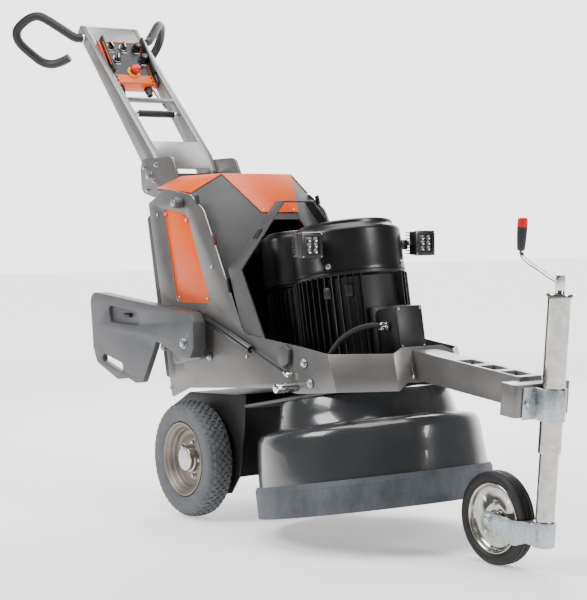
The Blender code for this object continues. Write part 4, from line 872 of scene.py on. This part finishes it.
class MotorOperator(bpy.types.Operator):
    """Builds both motors: finned bodies, cowls, terminal box and its cable gland"""

    bl_idname = "grinder.motors"
    bl_label = "Motors"

    def execute(self, context):
        count = context.scene.grinder_sizes.motor_fins
        base = MOTOR_BASE
        top = MOTOR_TOP
        core = [
            (0.101, base), (0.172, base), (0.172, base + 0.014), (0.152, base + 0.020),
            (0.150, top - 0.018), (0.166, top - 0.012), (0.166, top), (0.101, top), (0.101, base),
        ]
        body = spun("core", core, HEAD, 96, 0.001)
        fin = block(
            "fin", (0.024, 0.0032, top - base - 0.018), (0.1595, 0, (base + top) / 2),
            Matrix.Identity(4), 0.0009, 1,
        )
        places = []
        for k in range(count):
            turn = 2 * pi * (k + 0.5) / count
            if abs((turn + pi) % (2 * pi) - pi) < 0.33:
                continue
            places.append(HEAD @ turned(turn))
        fins = repeat(fin, places, "fins")
        pads = []
        for turn in (-62, -40, 52, 128, -128):
            pads.append(HEAD @ turned(radians(turn)) @ shifted(0.1600, 0, base + 0.075))
            pads.append(HEAD @ turned(radians(turn)) @ shifted(0.1600, 0, top - 0.060))
        bosses = repeat(block("boss", (0.021, 0.024, 0.034), bevel=0.004, segments=2), pads, "bosses")
        wear(joined([body, fins, bosses], "motor_body"), "motor_enamel", "chassis", "main_motor")

        shell = [
            (0.1625, 0.6895), (0.1675, 0.6895), (0.1675, 0.7000), (0.1660, 0.7040), (0.1660, 0.8060),
            (0.1650, 0.8120), (0.1600, 0.8180), (0.1480, 0.8260), (0.1450, 0.8300), (0.1450, 0.8370),
            (0.1420, 0.8410), (0.1360, 0.8420), (0.1320, 0.8400), (0.1300, 0.8350), (0.1280, 0.8330),
            (0.0, 0.8330), (0.0, 0.8300), (0.1280, 0.8300), (0.1625, 0.8080), (0.1625, 0.6895),
        ]
        cowl = spun("cowl", shell, HEAD, 112)
        lamp = joint_point("lamp_tilt_right")
        arms = []
        for word, sign in SIDES:
            inner = 0.147
            outer = abs(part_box(f"work_lamp_{word}")[0 if sign > 0 else 1].y) - 0.0008
            arms.append(
                block(
                    "lamp_bracket", (0.024, outer - inner, 0.030),
                    (lamp.x, sign * (inner + outer) / 2, lamp.z - 0.004), Matrix.Identity(4), 0.003,
                )
            )
        wear(joined([cowl, *arms], "motor_cowl_shell"), "cowl_enamel", "chassis", "motor_cowl")
        grille = [HEAD @ shifted(0, 0, 0.8334) @ turned(k * pi / 9) for k in range(9)]
        wear(
            repeat(
                block("grille_bar", (0.236, 0.0042, 0.0022), bevel=0.0006, segments=1),
                grille, "cowl_grille",
            ),
            "cowl_enamel", "chassis",
        )
        screws = []
        for turn in (-58, 32, 122, 212):
            out = HEAD @ turned(radians(turn)) @ shifted(0.1672, 0, 0.7055) @ turned(pi / 2, "Y")
            screws.append(out)
        wear(repeat(hex_bolt(0.0062, 0.005, 0.0085), screws, "cowl_screws"), "bolt", "chassis")

        body = spun(
            "core",
            [
                (0.058, base), (0.092, base), (0.092, base + 0.012), (0.076, base + 0.018),
                (0.075, 0.690), (0.090, 0.694), (0.090, 0.7005), (0.058, 0.7005), (0.058, base),
            ],
            PLANET, 64, 0.001,
        )
        fin = block(
            "fin", (0.018, 0.0030, 0.322), (0.0815, 0, base + 0.178), Matrix.Identity(4), 0.0008, 1
        )
        fins = repeat(fin, [PLANET @ turned(2 * pi * k / 32) for k in range(32)], "fins")
        shell = [
            (0.0915, 0.7010), (0.0960, 0.7010), (0.0960, 0.8420), (0.0945, 0.8500), (0.0890, 0.8570),
            (0.0820, 0.8610), (0.0800, 0.8660), (0.0760, 0.8680), (0.0, 0.8680), (0.0, 0.8650),
            (0.0760, 0.8650), (0.0915, 0.8420), (0.0915, 0.7010),
        ]
        small = spun("cowl", shell, PLANET, 72)
        wear(
            joined([body, fins, small], "planet_motor_body"), "motor_enamel", "chassis", "planet_motor"
        )

        x0 = TERMINAL_FRONT
        case = block("case", (0.086, 0.098, 0.128), (x0 + 0.043, -0.002, 0.500), HEAD, 0.007, 3)
        lid = block("lid", (0.010, 0.094, 0.124), (x0 + 0.0855, -0.002, 0.500), HEAD, 0.003, 2)
        foot = block("foot", (0.030, 0.118, 0.150), (x0 - 0.010, -0.002, 0.500), HEAD, 0.005, 2)
        wear(joined([case, lid, foot], "terminal_case"), "satin_black", "chassis", "terminal_box")
        corners = []
        for dy in (-0.041, 0.037):
            for dz in (0.446, 0.554):
                corners.append(HEAD @ shifted(x0 + 0.0903, dy, dz) @ turned(pi / 2, "Y"))
        wear(repeat(button_screw(0.0038), corners, "terminal_screws"), "bolt", "chassis")
        exit_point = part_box("motor_cable")[1]
        gland = axis_frame((exit_point.x - 0.0085, exit_point.y - 0.004, 0.628), (0, -1, 0))
        parts = [
            spun("nut", [(0, -0.001), (0.0150, -0.001), (0.0150, 0.006), (0, 0.006)], gland, 6, 0.0008),
            spun(
                "thread",
                [(0.009, 0.006), (0.0118, 0.006), (0.0118, 0.013), (0.009, 0.013), (0.009, 0.006)],
                gland, 32, 0.0004,
            ),
            spun(
                "dome",
                [
                    (0.0088, 0.013), (0.0140, 0.013), (0.0140, 0.020), (0.0118, 0.025),
                    (0.0088, 0.026), (0.0088, 0.013),
                ],
                gland, 6, 0.0008,
            ),
        ]
        wear(joined(parts, "cable_gland"), "chrome", "chassis")
        shaped("motor_cable", "grip_rubber", 0.0004)
        shaped("dust_hose", "satin_black", 0.001)
        return {"FINISHED"}


class LampOperator(bpy.types.Operator):
    """Builds the two work lamps with bezel, reflectors and cooling ribs"""

    bl_idname = "grinder.lamps"
    bl_label = "Work lamps"

    def execute(self, context):
        for word, sign in SIDES:
            low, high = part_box(f"work_lamp_{word}")
            mid = (low + high) / 2
            face = axis_frame((high.x, mid.y, mid.z), (1, 0, 0), (0, 1, 0))
            size = high.z - low.z
            depth = high.x - low.x
            body = f"work_lamp_{word}"
            case = block(
                "case", (size * 0.94, size * 0.94, depth * 0.52), (0, 0, -depth * 0.36), face, 0.005, 3
            )
            ribs = [face @ shifted(0, size * (k - 3.5) * 0.118, -depth * 0.74) for k in range(8)]
            rib = block("rib", (size * 0.86, 0.0030, depth * 0.42), bevel=0.0008, segments=1)
            wear(
                joined([case, repeat(rib, ribs, "ribs")], f"lamp_case_{word}"), "satin_black", body,
                body,
            )
            bezel = block("bezel", (size, size, 0.008), (0, 0, -0.0045), face, 0.0035, 2)
            window = block("window", (size * 0.66, size * 0.70, 0.02), (0, 0, 0.0055), face, 0.003, 2)
            wear(cut(bezel, window), "lens_bezel", body)
            wear(
                block(
                    f"lamp_mirror_{word}", (size * 0.74, size * 0.74, 0.0016), (0, 0, -0.0046), face,
                    0.0004,
                ),
                "lens_bezel", body,
            )
            cups = []
            for i in (-1, 1):
                for j in (-1, 0, 1):
                    cups.append(face @ shifted(i * size * 0.150, j * size * 0.215, -0.0038))
            cup = spun(
                "cup",
                [
                    (0.0, 0.0008), (0.0035, 0.0008), (0.0072, 0.0028), (0.0078, 0.0028), (0.0078, 0.0),
                    (0.0, 0.0),
                ],
                steps=28,
            )
            wear(repeat(cup, cups, f"lamp_cups_{word}"), "lens", body)
            corners = [
                face @ shifted(i * size * 0.43, j * size * 0.43, -0.0006)
                for i in (-1, 1)
                for j in (-1, 1)
            ]
            wear(repeat(button_screw(0.0028), corners, f"lamp_screws_{word}"), "bolt", body)
            hinge = axis_frame((mid.x, sign * (abs(mid.y) - size / 2 + 0.001), mid.z), (0, -sign, 0))
            wear(rod(f"lamp_pivot_{word}", 0.008, 0.0, 0.009, hinge, 20), "bolt", body)
        return {"FINISHED"}


class ControlOperator(bpy.types.Operator):
    """Builds the control box with its face, guards, switches, knobs and stop button"""

    bl_idname = "grinder.controls"
    bl_label = "Control panel"

    def execute(self, context):
        first = joint_point("selector_turn_1")
        down = SLOPE - PANEL_UP * SLOPE.dot(PANEL_UP)
        face = axis_frame(first, PANEL_UP, down)
        start = PANEL_START
        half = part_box("control_box")[1].y
        length = PANEL_LENGTH

        def spot(along, across, up=0.0):
            return face @ shifted(along - start, across - first.y, up)

        tray = block("tray", (length, 2 * half, 0.049), (length / 2, 0, -0.0255), spot(0, 0), 0.004, 3)
        recess = block(
            "recess", (0.158, 2 * half - 0.026, 0.010), (0.086, 0, 0.001), spot(0, 0), 0.002, 2
        )
        well = rod("well", 0.0135, -0.016, 0.010, spot(*STOP_PLACE), 24)
        tray = cut(cut(tray, recess), well)
        wear(tray, "orange_coat", "handle", "control_box")
        foil = block(
            "panel_foil", (0.157, 2 * half - 0.027, 0.0012), (0.086, 0, -0.0034), spot(0, 0), 0.0004, 1
        )
        wear(
            cut(foil, rod("well", 0.0135, -0.016, 0.010, spot(*STOP_PLACE), 24)), "panel_face",
            "handle",
        )
        for word, sign in SIDES:
            guard = block(
                "guard", (0.168, 0.009, 0.030), (0.082, sign * (half - 0.008), 0.011), spot(0, 0),
                0.003, 2,
            )
            cheek = block(
                "cheek", (0.060, 0.010, 0.020), (0.175, sign * (half - 0.006), 0.002), spot(0, 0),
                0.003, 2,
            )
            wear(joined([guard, cheek], f"panel_guard_{word}"), "satin_black", "handle")
            stripe = block(
                f"guard_stripe_{word}", (0.110, 0.0016, 0.005), (0.080, sign * (half - 0.0037), 0.018),
                spot(0, 0), 0.0005, 1,
            )
            wear(stripe, "orange_coat" if sign < 0 else "rail_coat", "handle")
        label = [
            spot(a, b, -0.0022)
            for a, b in ((0.056, -0.052), (0.056, 0.0), (0.056, 0.053), (0.112, -0.044), (0.112, 0.063))
        ]
        wear(
            repeat(
                block("mark", (0.0035, 0.020, 0.0007), bevel=0.0002, segments=1), label,
                "panel_marks",
            ),
            "white_mark", "handle",
        )
        ring = spun(
            "stop_ring",
            [
                (0.0138, -0.0030), (0.0250, -0.0030), (0.0250, -0.0010), (0.0225, 0.0010),
                (0.0138, 0.0010), (0.0138, -0.0030),
            ],
            spot(*STOP_PLACE), 48, 0.0004,
        )
        wear(ring, "yellow", "handle")
        mushroom = [
            (0.0, -0.008), (0.0116, -0.008), (0.0116, 0.009), (0.0160, 0.0105), (0.0192, 0.0130),
            (0.0200, 0.0170), (0.0192, 0.0225), (0.0165, 0.0265), (0.0110, 0.0295), (0.0050, 0.0308),
            (0.0, 0.0312),
        ]
        wear(
            spun("stop_button", mushroom, spot(*STOP_PLACE), 48), "red", "emergency_stop",
            "emergency_stop",
        )
        for i in (1, 2, 3):
            seat = joint_place(f"selector_turn_{i}")
            seat = axis_frame(seat.translation, PANEL_UP, down)
            base = spun(
                "base",
                [(0.0, -0.0028), (0.0165, -0.0028), (0.0165, 0.0005), (0.0150, 0.0024), (0.0, 0.0024)],
                seat, 40, 0.0003,
            )
            wear(base, "chrome", "handle")
            collar = rod("collar", 0.0128, 0.0026, 0.0095, Matrix.Identity(4), 40, 0.0008)
            lever = block(
                "lever", (0.026, 0.0078, 0.0125), (0.0, 0, 0.0150),
                turned(radians(32 - 18 * i)), 0.0018, 2,
            )
            mark = block(
                f"selector_mark_{i}", (0.022, 0.0036, 0.0009), (0.002, 0, 0.0214),
                seat @ turned(radians(32 - 18 * i)), 0.0003, 1,
            )
            wear(mark, "white_mark", f"selector_{i}")
            turn = joined([collar, lever], "turn")
            wear(moved(turn, seat), "satin_black", f"selector_{i}", f"selector_{i}")
        for i in (1, 2):
            seat = joint_place(f"knob_turn_{i}")
            skirt = [
                (0.0, 0.0003), (0.0158, 0.0003), (0.0158, 0.0040), (0.0134, 0.0062), (0.0122, 0.0250),
                (0.0108, 0.0264), (0.0, 0.0268),
            ]
            knob = spun("knob", skirt, seat, 40, 0.0003)
            flute = [seat @ turned(2 * pi * k / 20) @ shifted(0.0129, 0, 0.0148) for k in range(20)]
            flutes = repeat(
                block("flute", (0.0014, 0.0016, 0.0175), bevel=0.0004, segments=1),
                flute, "flutes",
            )
            wear(
                joined([knob, flutes], f"dial_{i}"), "satin_black", f"speed_knob_{i}", f"speed_knob_{i}"
            )
            pointer = block(
                f"dial_mark_{i}", (0.009, 0.0016, 0.0007), (0.005, 0, 0.0270), seat, 0.0002, 1
            )
            wear(pointer, "white_mark", f"speed_knob_{i}")
        lamp = [spot(0.122, 0.030), spot(0.122, 0.052)]
        wear(
            repeat(
                rod("button", 0.0065, -0.0028, 0.0020, Matrix.Identity(4), 24, 0.0006), lamp,
                "push_buttons",
            ),
            "satin_black", "handle",
        )
        corners = [spot(a, b, -0.0004) for a in (0.176, 0.194) for b in (-0.072, 0.072)]
        wear(repeat(button_screw(0.0038), corners, "panel_screws"), "satin_black", "handle")
        under = face @ shifted(0.209 - start, -first.y, -0.030) @ turned(pi / 2, "Y")
        sockets = []
        for across, radius in ((-0.058, 0.017), (0.058, 0.014)):
            sockets.append(
                spun(
                    "socket",
                    [
                        (0, -0.004), (radius, -0.004), (radius, 0.012), (radius * 0.82, 0.018),
                        (radius * 0.82, 0.028), (radius * 0.5, 0.028), (radius * 0.5, 0.020),
                        (0, 0.020),
                    ],
                    under @ shifted(0, across, 0), 24, 0.0006,
                )
            )
        wear(joined(sockets, "panel_sockets"), "satin_black", "handle")
        return {"FINISHED"}


class HandleOperator(bpy.types.Operator):
    """Builds the looped grips, the bars between the rails and their bolts"""

    bl_idname = "grinder.handle"
    bl_label = "Handle"

    def execute(self, context):
        for word, sign in SIDES:
            shaped(f"handlebar_{word}", "grip_rubber", 0.0005)
        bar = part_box("release_bar")
        middle = (bar[0] + bar[1]) / 2
        across = axis_frame(middle, (0, 1, 0))
        reach = (bar[1].y - bar[0].y) / 2
        wear(
            rod("release_grip", 0.0125, -reach + 0.022, reach - 0.022, across, 40, 0.002),
            "grip_rubber", "release_bar", "release_bar",
        )
        ends = [
            rod("end", 0.0085, -reach, -reach + 0.023, across, 32, 0.001),
            rod("end", 0.0085, reach - 0.023, reach, across, 32, 0.001),
        ]
        wear(joined(ends, "release_ends"), "chrome", "release_bar")
        up = SLOPE.cross(Vector((0, 1, 0)))
        if up.z < 0:
            up = -up
        rod_top = middle - SLOPE * 0.180 + Vector((0, 0.068, 0)) - up * 0.024
        rod_low = middle - SLOPE * 0.052 + Vector((0, 0.068, 0)) - up * 0.012
        tube("release_conduit", [rod_top, rod_low], 0.0062, "chrome", "handle", smooth=False)
        root = middle - SLOPE * (0.483 - 0.056) - up * 0.005
        collars = []
        for _, sign in SIDES:
            seat = axis_frame(root + Vector((0, sign * RAIL_FACE, 0)), (0, sign, 0))
            collars.append(rod("collar", 0.0178, 0.0006, 0.013, seat, 32, 0.001))
        wear(joined(collars, "handlebar_collars"), "chrome", "handle")
        pivot = joint_point("handle_tilt")
        bolts = []
        for _, sign in SIDES:
            face = EAR_FACE
            for dx, dz in ((-0.030, 0.030), (0.034, -0.018), (0.050, 0.036), (-0.012, -0.048)):
                bolts.append(axis_frame((pivot.x + dx, sign * face, pivot.z + dz), (0, sign, 0)))
        wear(repeat(hex_bolt(0.0075, 0.006, 0.011), bolts, "ear_bolts"), "bolt", "chassis")
        pins = [axis_frame((pivot.x, sign * EAR_FACE, pivot.z), (0, sign, 0)) for _, sign in SIDES]
        wear(repeat(hex_bolt(0.014, 0.008, 0.019), pins, "pivot_bolts"), "bolt", "chassis")
        return {"FINISHED"}


class WeightOperator(bpy.types.Operator):
    """Finishes the swing-over weights, their pivots and the gas springs"""

    bl_idname = "grinder.weights"
    bl_label = "Side weights"

    def execute(self, context):
        for word, sign in SIDES:
            shaped(f"side_weight_{word}", "weight_coat", 0.0035, 3)
            pivot = joint_point(f"weight_swing_{word}")
            outer = abs(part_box(f"side_weight_{word}")[0 if sign < 0 else 1].y)
            seat = axis_frame((pivot.x, sign * outer, pivot.z), (0, sign, 0))
            pocket = axis_frame(design(-0.322, sign * (outer - 0.010), 0.633), (0, sign, 0))
            # A black block at the floor of the latch pocket, behind the latch: painted shade inside the
            # recess
            pocket_shade = block("pocket_shade", (0.058, 0.017, 0.004), (0, 0, -0.0030), pocket, 0.0015)
            wear(pocket_shade, "motor_enamel", f"weight_{word}")
            pocket_shade.name = f"weight_pocket_shade_{word}"
            latch = rod(
                f"weight_latch_{word}", 0.0058, -0.022, 0.022,
                pocket @ shifted(0, 0, 0.003) @ turned(pi / 2, "Y"), 24, 0.002,
            )
            wear(latch, "satin_black", f"weight_{word}")
            wear(moved(hex_bolt(0.012, 0.007, 0.017), seat), "bolt", "chassis")
            bpy.context.object.name = f"weight_pivot_{word}"
            stroke = joint_axis(f"spring_stroke_{word}")
            along = axis_frame(
                joint_point(f"spring_turn_{word}") + Vector((0, sign * 0.0033, 0)), stroke
            )
            reach = SPRING_LENGTH
            shaft = [(0, 0.004), (0.0042, 0.008), (0.0042, 0.400), (0, 0.400)]
            rod_piece = spun("shaft", shaft, along, 24)
            ball = spun(
                "ball",
                [
                    (0, -0.0085), (0.006, -0.0080), (0.0085, -0.004), (0.0085, 0.006), (0.0065, 0.012),
                    (0.0048, 0.022), (0.0, 0.022),
                ],
                along, 24,
            )
            wear(rod_piece, "satin_black", f"spring_rod_{word}", f"spring_rod_{word}")
            wear(ball, "chrome", f"spring_rod_{word}")
            ball.name = f"spring_ball_{word}"
            body = [
                (0.0046, 0.204), (0.0115, 0.203), (0.0132, 0.207), (0.0132, reach - 0.030),
                (0.0090, reach - 0.024), (0.0050, reach - 0.020), (0.0050, reach - 0.008),
                (0.0080, reach - 0.006), (0.0080, reach + 0.006), (0.0, reach + 0.008),
                (0.0, reach - 0.060), (0.0046, reach - 0.060), (0.0046, 0.204),
            ]
            wear(
                spun(f"spring_cylinder_{word}", body, along, 32), "cowl_enamel", f"spring_tube_{word}",
                f"spring_tube_{word}",
            )
        return {"FINISHED"}


class JockeyOperator(bpy.types.Operator):
    """Builds the jockey post, strap, crank, fork and wheel"""

    bl_idname = "grinder.jockey"
    bl_label = "Jockey wheel"

    def execute(self, context):
        outer = [
            (0.0260, 0.247), (0.0292, 0.247), (0.0300, 0.249), (0.0300, 0.648), (0.0320, 0.652),
            (0.0350, 0.6545), (0.0350, 0.6600), (0.0335, 0.6630), (0.0110, 0.6630), (0.0110, 0.6550),
            (0.0260, 0.6550), (0.0260, 0.247),
        ]
        wear(spun("post_outer", outer, TUBE, 64), "tube_plate", "chassis", "jockey_tube")
        inner = [(0, 0.066), (0.0240, 0.066), (0.0252, 0.069), (0.0252, 0.400), (0, 0.400)]
        wear(spun("post_inner", inner, TUBE, 64), "tube_plate", "jockey_leg", "jockey_leg")
        shaped("tube_strap", "zinc", 0.0012)
        bolts = []
        for sign in (-1, 1):
            bolts.append(TUBE @ shifted(-0.0296, sign * 0.060, 0.375) @ turned(pi / 2, "Y"))
        wear(repeat(hex_bolt(0.0095, 0.006, 0.015), bolts, "strap_bolts"), "bolt", "chassis")
        spindle = [
            (0, 0.595), (0.0100, 0.595), (0.0100, 0.6635), (0.0124, 0.664), (0.0124, 0.709),
            (0.0112, 0.711), (0.0, 0.711),
        ]
        wear(spun("crank_spindle", spindle, TUBE, 32, 0.0005), "chrome", "jockey_crank")
        arm = [
            TUBE @ Vector(p)
            for p in (
                (0.004, 0, 0.688), (-0.018, 0, 0.693), (-0.075, 0, 0.713), (-0.128, 0, 0.732),
                (-0.149, 0, 0.748), (-0.1525, 0, 0.774), (CRANK_REACH, 0, 0.800),
            )
        ]
        tube("crank_arm", arm, 0.0054, "tube_plate", "jockey_crank", "jockey_crank")
        grip_place = TUBE @ shifted(CRANK_REACH, 0, 0)
        grip = [
            (0.0064, 0.757), (0.0090, 0.757), (0.0105, 0.760), (0.0118, 0.775), (0.0132, 0.800),
            (0.0136, 0.818), (0.0064, 0.818), (0.0064, 0.757),
        ]
        wear(spun("crank_grip", grip, grip_place, 32), "satin_black", "jockey_crank")
        cap = [
            (0, 0.8182), (0.0136, 0.8182), (0.0136, 0.832), (0.0125, 0.841), (0.009, 0.843), (0, 0.8432)
        ]
        wear(spun("crank_cap", cap, grip_place, 32), "red", "jockey_crank")

        shaped("jockey_fork", "zinc", 0.0022, 3)
        low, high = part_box("jockey_tyre")
        centre = (low + high) / 2
        radius = (high.z - low.z) / 2
        half = (high.y - low.y) / 2
        hub = axis_frame(centre, (0, -1, 0))
        side = [
            (0.0965, half * 0.68), (0.1000, half * 0.86), (0.1050, half * 0.97), (0.1130, half * 1.0),
            (radius - 0.006, half * 0.92), (radius - 0.0015, half * 0.74),
            (radius - 0.0004, half * 0.62), (radius - 0.0028, half * 0.57),
            (radius - 0.0028, half * 0.50), (radius, half * 0.45), (radius, half * 0.22),
            (radius - 0.0028, half * 0.17), (radius - 0.0028, half * 0.10), (radius, half * 0.05),
        ]
        profile = side + [(r, -z) for r, z in reversed(side)]
        profile.append(profile[0])
        wear(spun("jockey_tread", profile, hub, 96), "black_tyre", "jockey_wheel", "jockey_tyre")
        rim = [
            (0.0962, half * 0.70), (0.0962, half * 0.80), (0.0930, half * 0.84), (0.0890, half * 0.74),
            (0.0860, half * 0.36), (0.0800, half * 0.22), (0.0520, half * 0.20), (0.0460, half * 0.30),
            (0.0330, half * 0.34), (0.0260, half * 0.30), (0.0200, half * 0.30), (0.0185, half * 0.98),
            (0.0088, half * 0.98), (0.0088, -half * 0.98), (0.0185, -half * 0.98),
            (0.0200, half * 0.18), (0.0800, half * 0.10), (0.0850, -half * 0.30),
            (0.0900, -half * 0.74), (0.0962, -half * 0.80), (0.0962, half * 0.70),
        ]
        rim = spun("jockey_rim_disc", rim, hub, 72, 0.0008)
        holes = [hub @ turned(2 * pi * (k + 0.5) / 4) for k in range(4)]
        for place in holes:
            cut(rim, rod("hole", 0.0055, -0.02, 0.04, place @ shifted(0.066, 0, 0), 16))
        wear(rim, "tube_plate", "jockey_wheel", "jockey_rim")
        studs = [hub @ turned(2 * pi * k / 4) @ shifted(0.040, 0, half * 0.32) for k in range(4)]
        wear(repeat(hex_bolt(0.0058, 0.005, 0.0085), studs, "jockey_rim_nuts"), "bolt", "jockey_wheel")
        ends = [axis_frame((centre.x, sign * 0.0352, centre.z), (0, sign, 0)) for sign in (-1, 1)]
        wear(repeat(hex_bolt(0.0105, 0.007, 0.0145), ends, "fork_axle_nuts"), "bolt", "jockey_fork")
        return {"FINISHED"}


class StageOperator(bpy.types.Operator):
    """Adds the pale floor, soft studio lights and the camera"""

    bl_idname = "grinder.stage"
    bl_label = "Stage"

    def execute(self, context):
        clear_selection()
        bpy.ops.mesh.primitive_plane_add(size=60, location=(0, 0, -0.0005))
        floor = bpy.context.object
        floor.name = "studio_floor"
        floor.data.materials.append(studio_sweep("studio_sweep"))
        world = bpy.data.worlds.new("studio")
        context.scene.world = world
        world.use_nodes = True
        sky = world.node_tree.nodes["Background"]
        around = add_node(world.node_tree, "ShaderNodeTexCoord")
        ahead = add_node(
            world.node_tree, "ShaderNodeVectorMath",
            {"operation": "DOT_PRODUCT", 1: (-0.80, 0.55, -0.25)}, {0: around.outputs["Generated"]},
        )
        wall = add_node(
            world.node_tree, "ShaderNodeMapRange",
            {"From Min": 0.45, "From Max": 0.93, "To Min": 0.16, "To Max": 3.3},
            {"Value": ahead.outputs["Value"]},
        )
        world.node_tree.links.new(wall.outputs["Result"], sky.inputs["Strength"])
        sky.inputs["Color"].default_value = (1, 1, 1, 1)
        for name, place, aim, size, power in (
            ("key_softbox", (-0.6, -3.4, 3.2), (0.0, 0, 0.7), 1.8, 170),
            ("fill_softbox", (4.4, 1.2, 2.2), (0.2, 0, 0.6), 1.2, 90),
            ("rim_softbox", (-2.4, 2.4, 3.0), (0, 0, 0.8), 2.0, 150),
            ("top_softbox", (0.4, 0.0, 4.4), (0.1, 0, 0), 3.6, 230),
        ):
            data = bpy.data.lights.new(name, "AREA")
            data.size = size
            data.energy = power
            lamp = bpy.data.objects.new(name, data)
            context.scene.collection.objects.link(lamp)
            lamp.matrix_world = axis_frame(place, Vector(place) - Vector(aim))
        data = bpy.data.cameras.new("camera")
        camera = bpy.data.objects.new("camera", data)
        context.scene.collection.objects.link(camera)
        data.sensor_fit = "VERTICAL"
        data.sensor_height = 36
        data.lens = 95.4
        turn = 0.962
        pitch = 0.043
        roll = -0.015
        ahead = Vector((-sin(turn) * cos(pitch), cos(turn) * cos(pitch), -sin(pitch)))
        right = Vector((cos(turn), sin(turn), 0))
        above = right.cross(ahead)
        level = cos(roll) * right + sin(roll) * above
        upright = -sin(roll) * right + cos(roll) * above
        eye = design(4.3225, -2.8686, 0.9023)
        camera.matrix_world = Matrix.Translation(eye) @ Matrix(
            (level, upright, -ahead)
        ).transposed().to_4x4()
        context.scene.camera = camera
        return {"FINISHED"}


OPERATORS = (
    StructureOperator, FastenerOperator, WheelOperator, HeadOperator, MotorOperator, LampOperator,
    ControlOperator, HandleOperator, WeightOperator, JockeyOperator, StageOperator,
)


class GrinderPanel(bpy.types.Panel):
    """Lists the machine's pieces, sizes and colours"""

    bl_idname = "VIEW3D_PT_grinder"
    bl_label = "Floor grinder"
    bl_space_type = "VIEW_3D"
    bl_region_type = "UI"
    bl_category = "Grinder"

    def draw(self, context):
        scene = context.scene
        for name in ("orange", "frame_grey"):
            self.layout.prop(scene.grinder_paints, name)
        for name in ("edge", "tread_steps", "motor_fins"):
            self.layout.prop(scene.grinder_sizes, name)
        for operator in OPERATORS:
            self.layout.operator(operator.bl_idname)


CLASSES = (GrinderPaints, GrinderSizes, *OPERATORS, GrinderPanel)


def register():
    for item in CLASSES:
        bpy.utils.register_class(item)
    bpy.types.Scene.grinder_paints = PointerProperty(type=GrinderPaints)
    bpy.types.Scene.grinder_sizes = PointerProperty(type=GrinderSizes)


def unregister():
    del bpy.types.Scene.grinder_sizes
    del bpy.types.Scene.grinder_paints
    for item in reversed(CLASSES):
        bpy.utils.unregister_class(item)


def main():
    register()
    make_finishes(bpy.context.scene.grinder_paints)
    for operator in OPERATORS:
        group, name = operator.bl_idname.split(".")
        getattr(getattr(bpy.ops, group), name)()


if __name__ == "__main__":
    main()
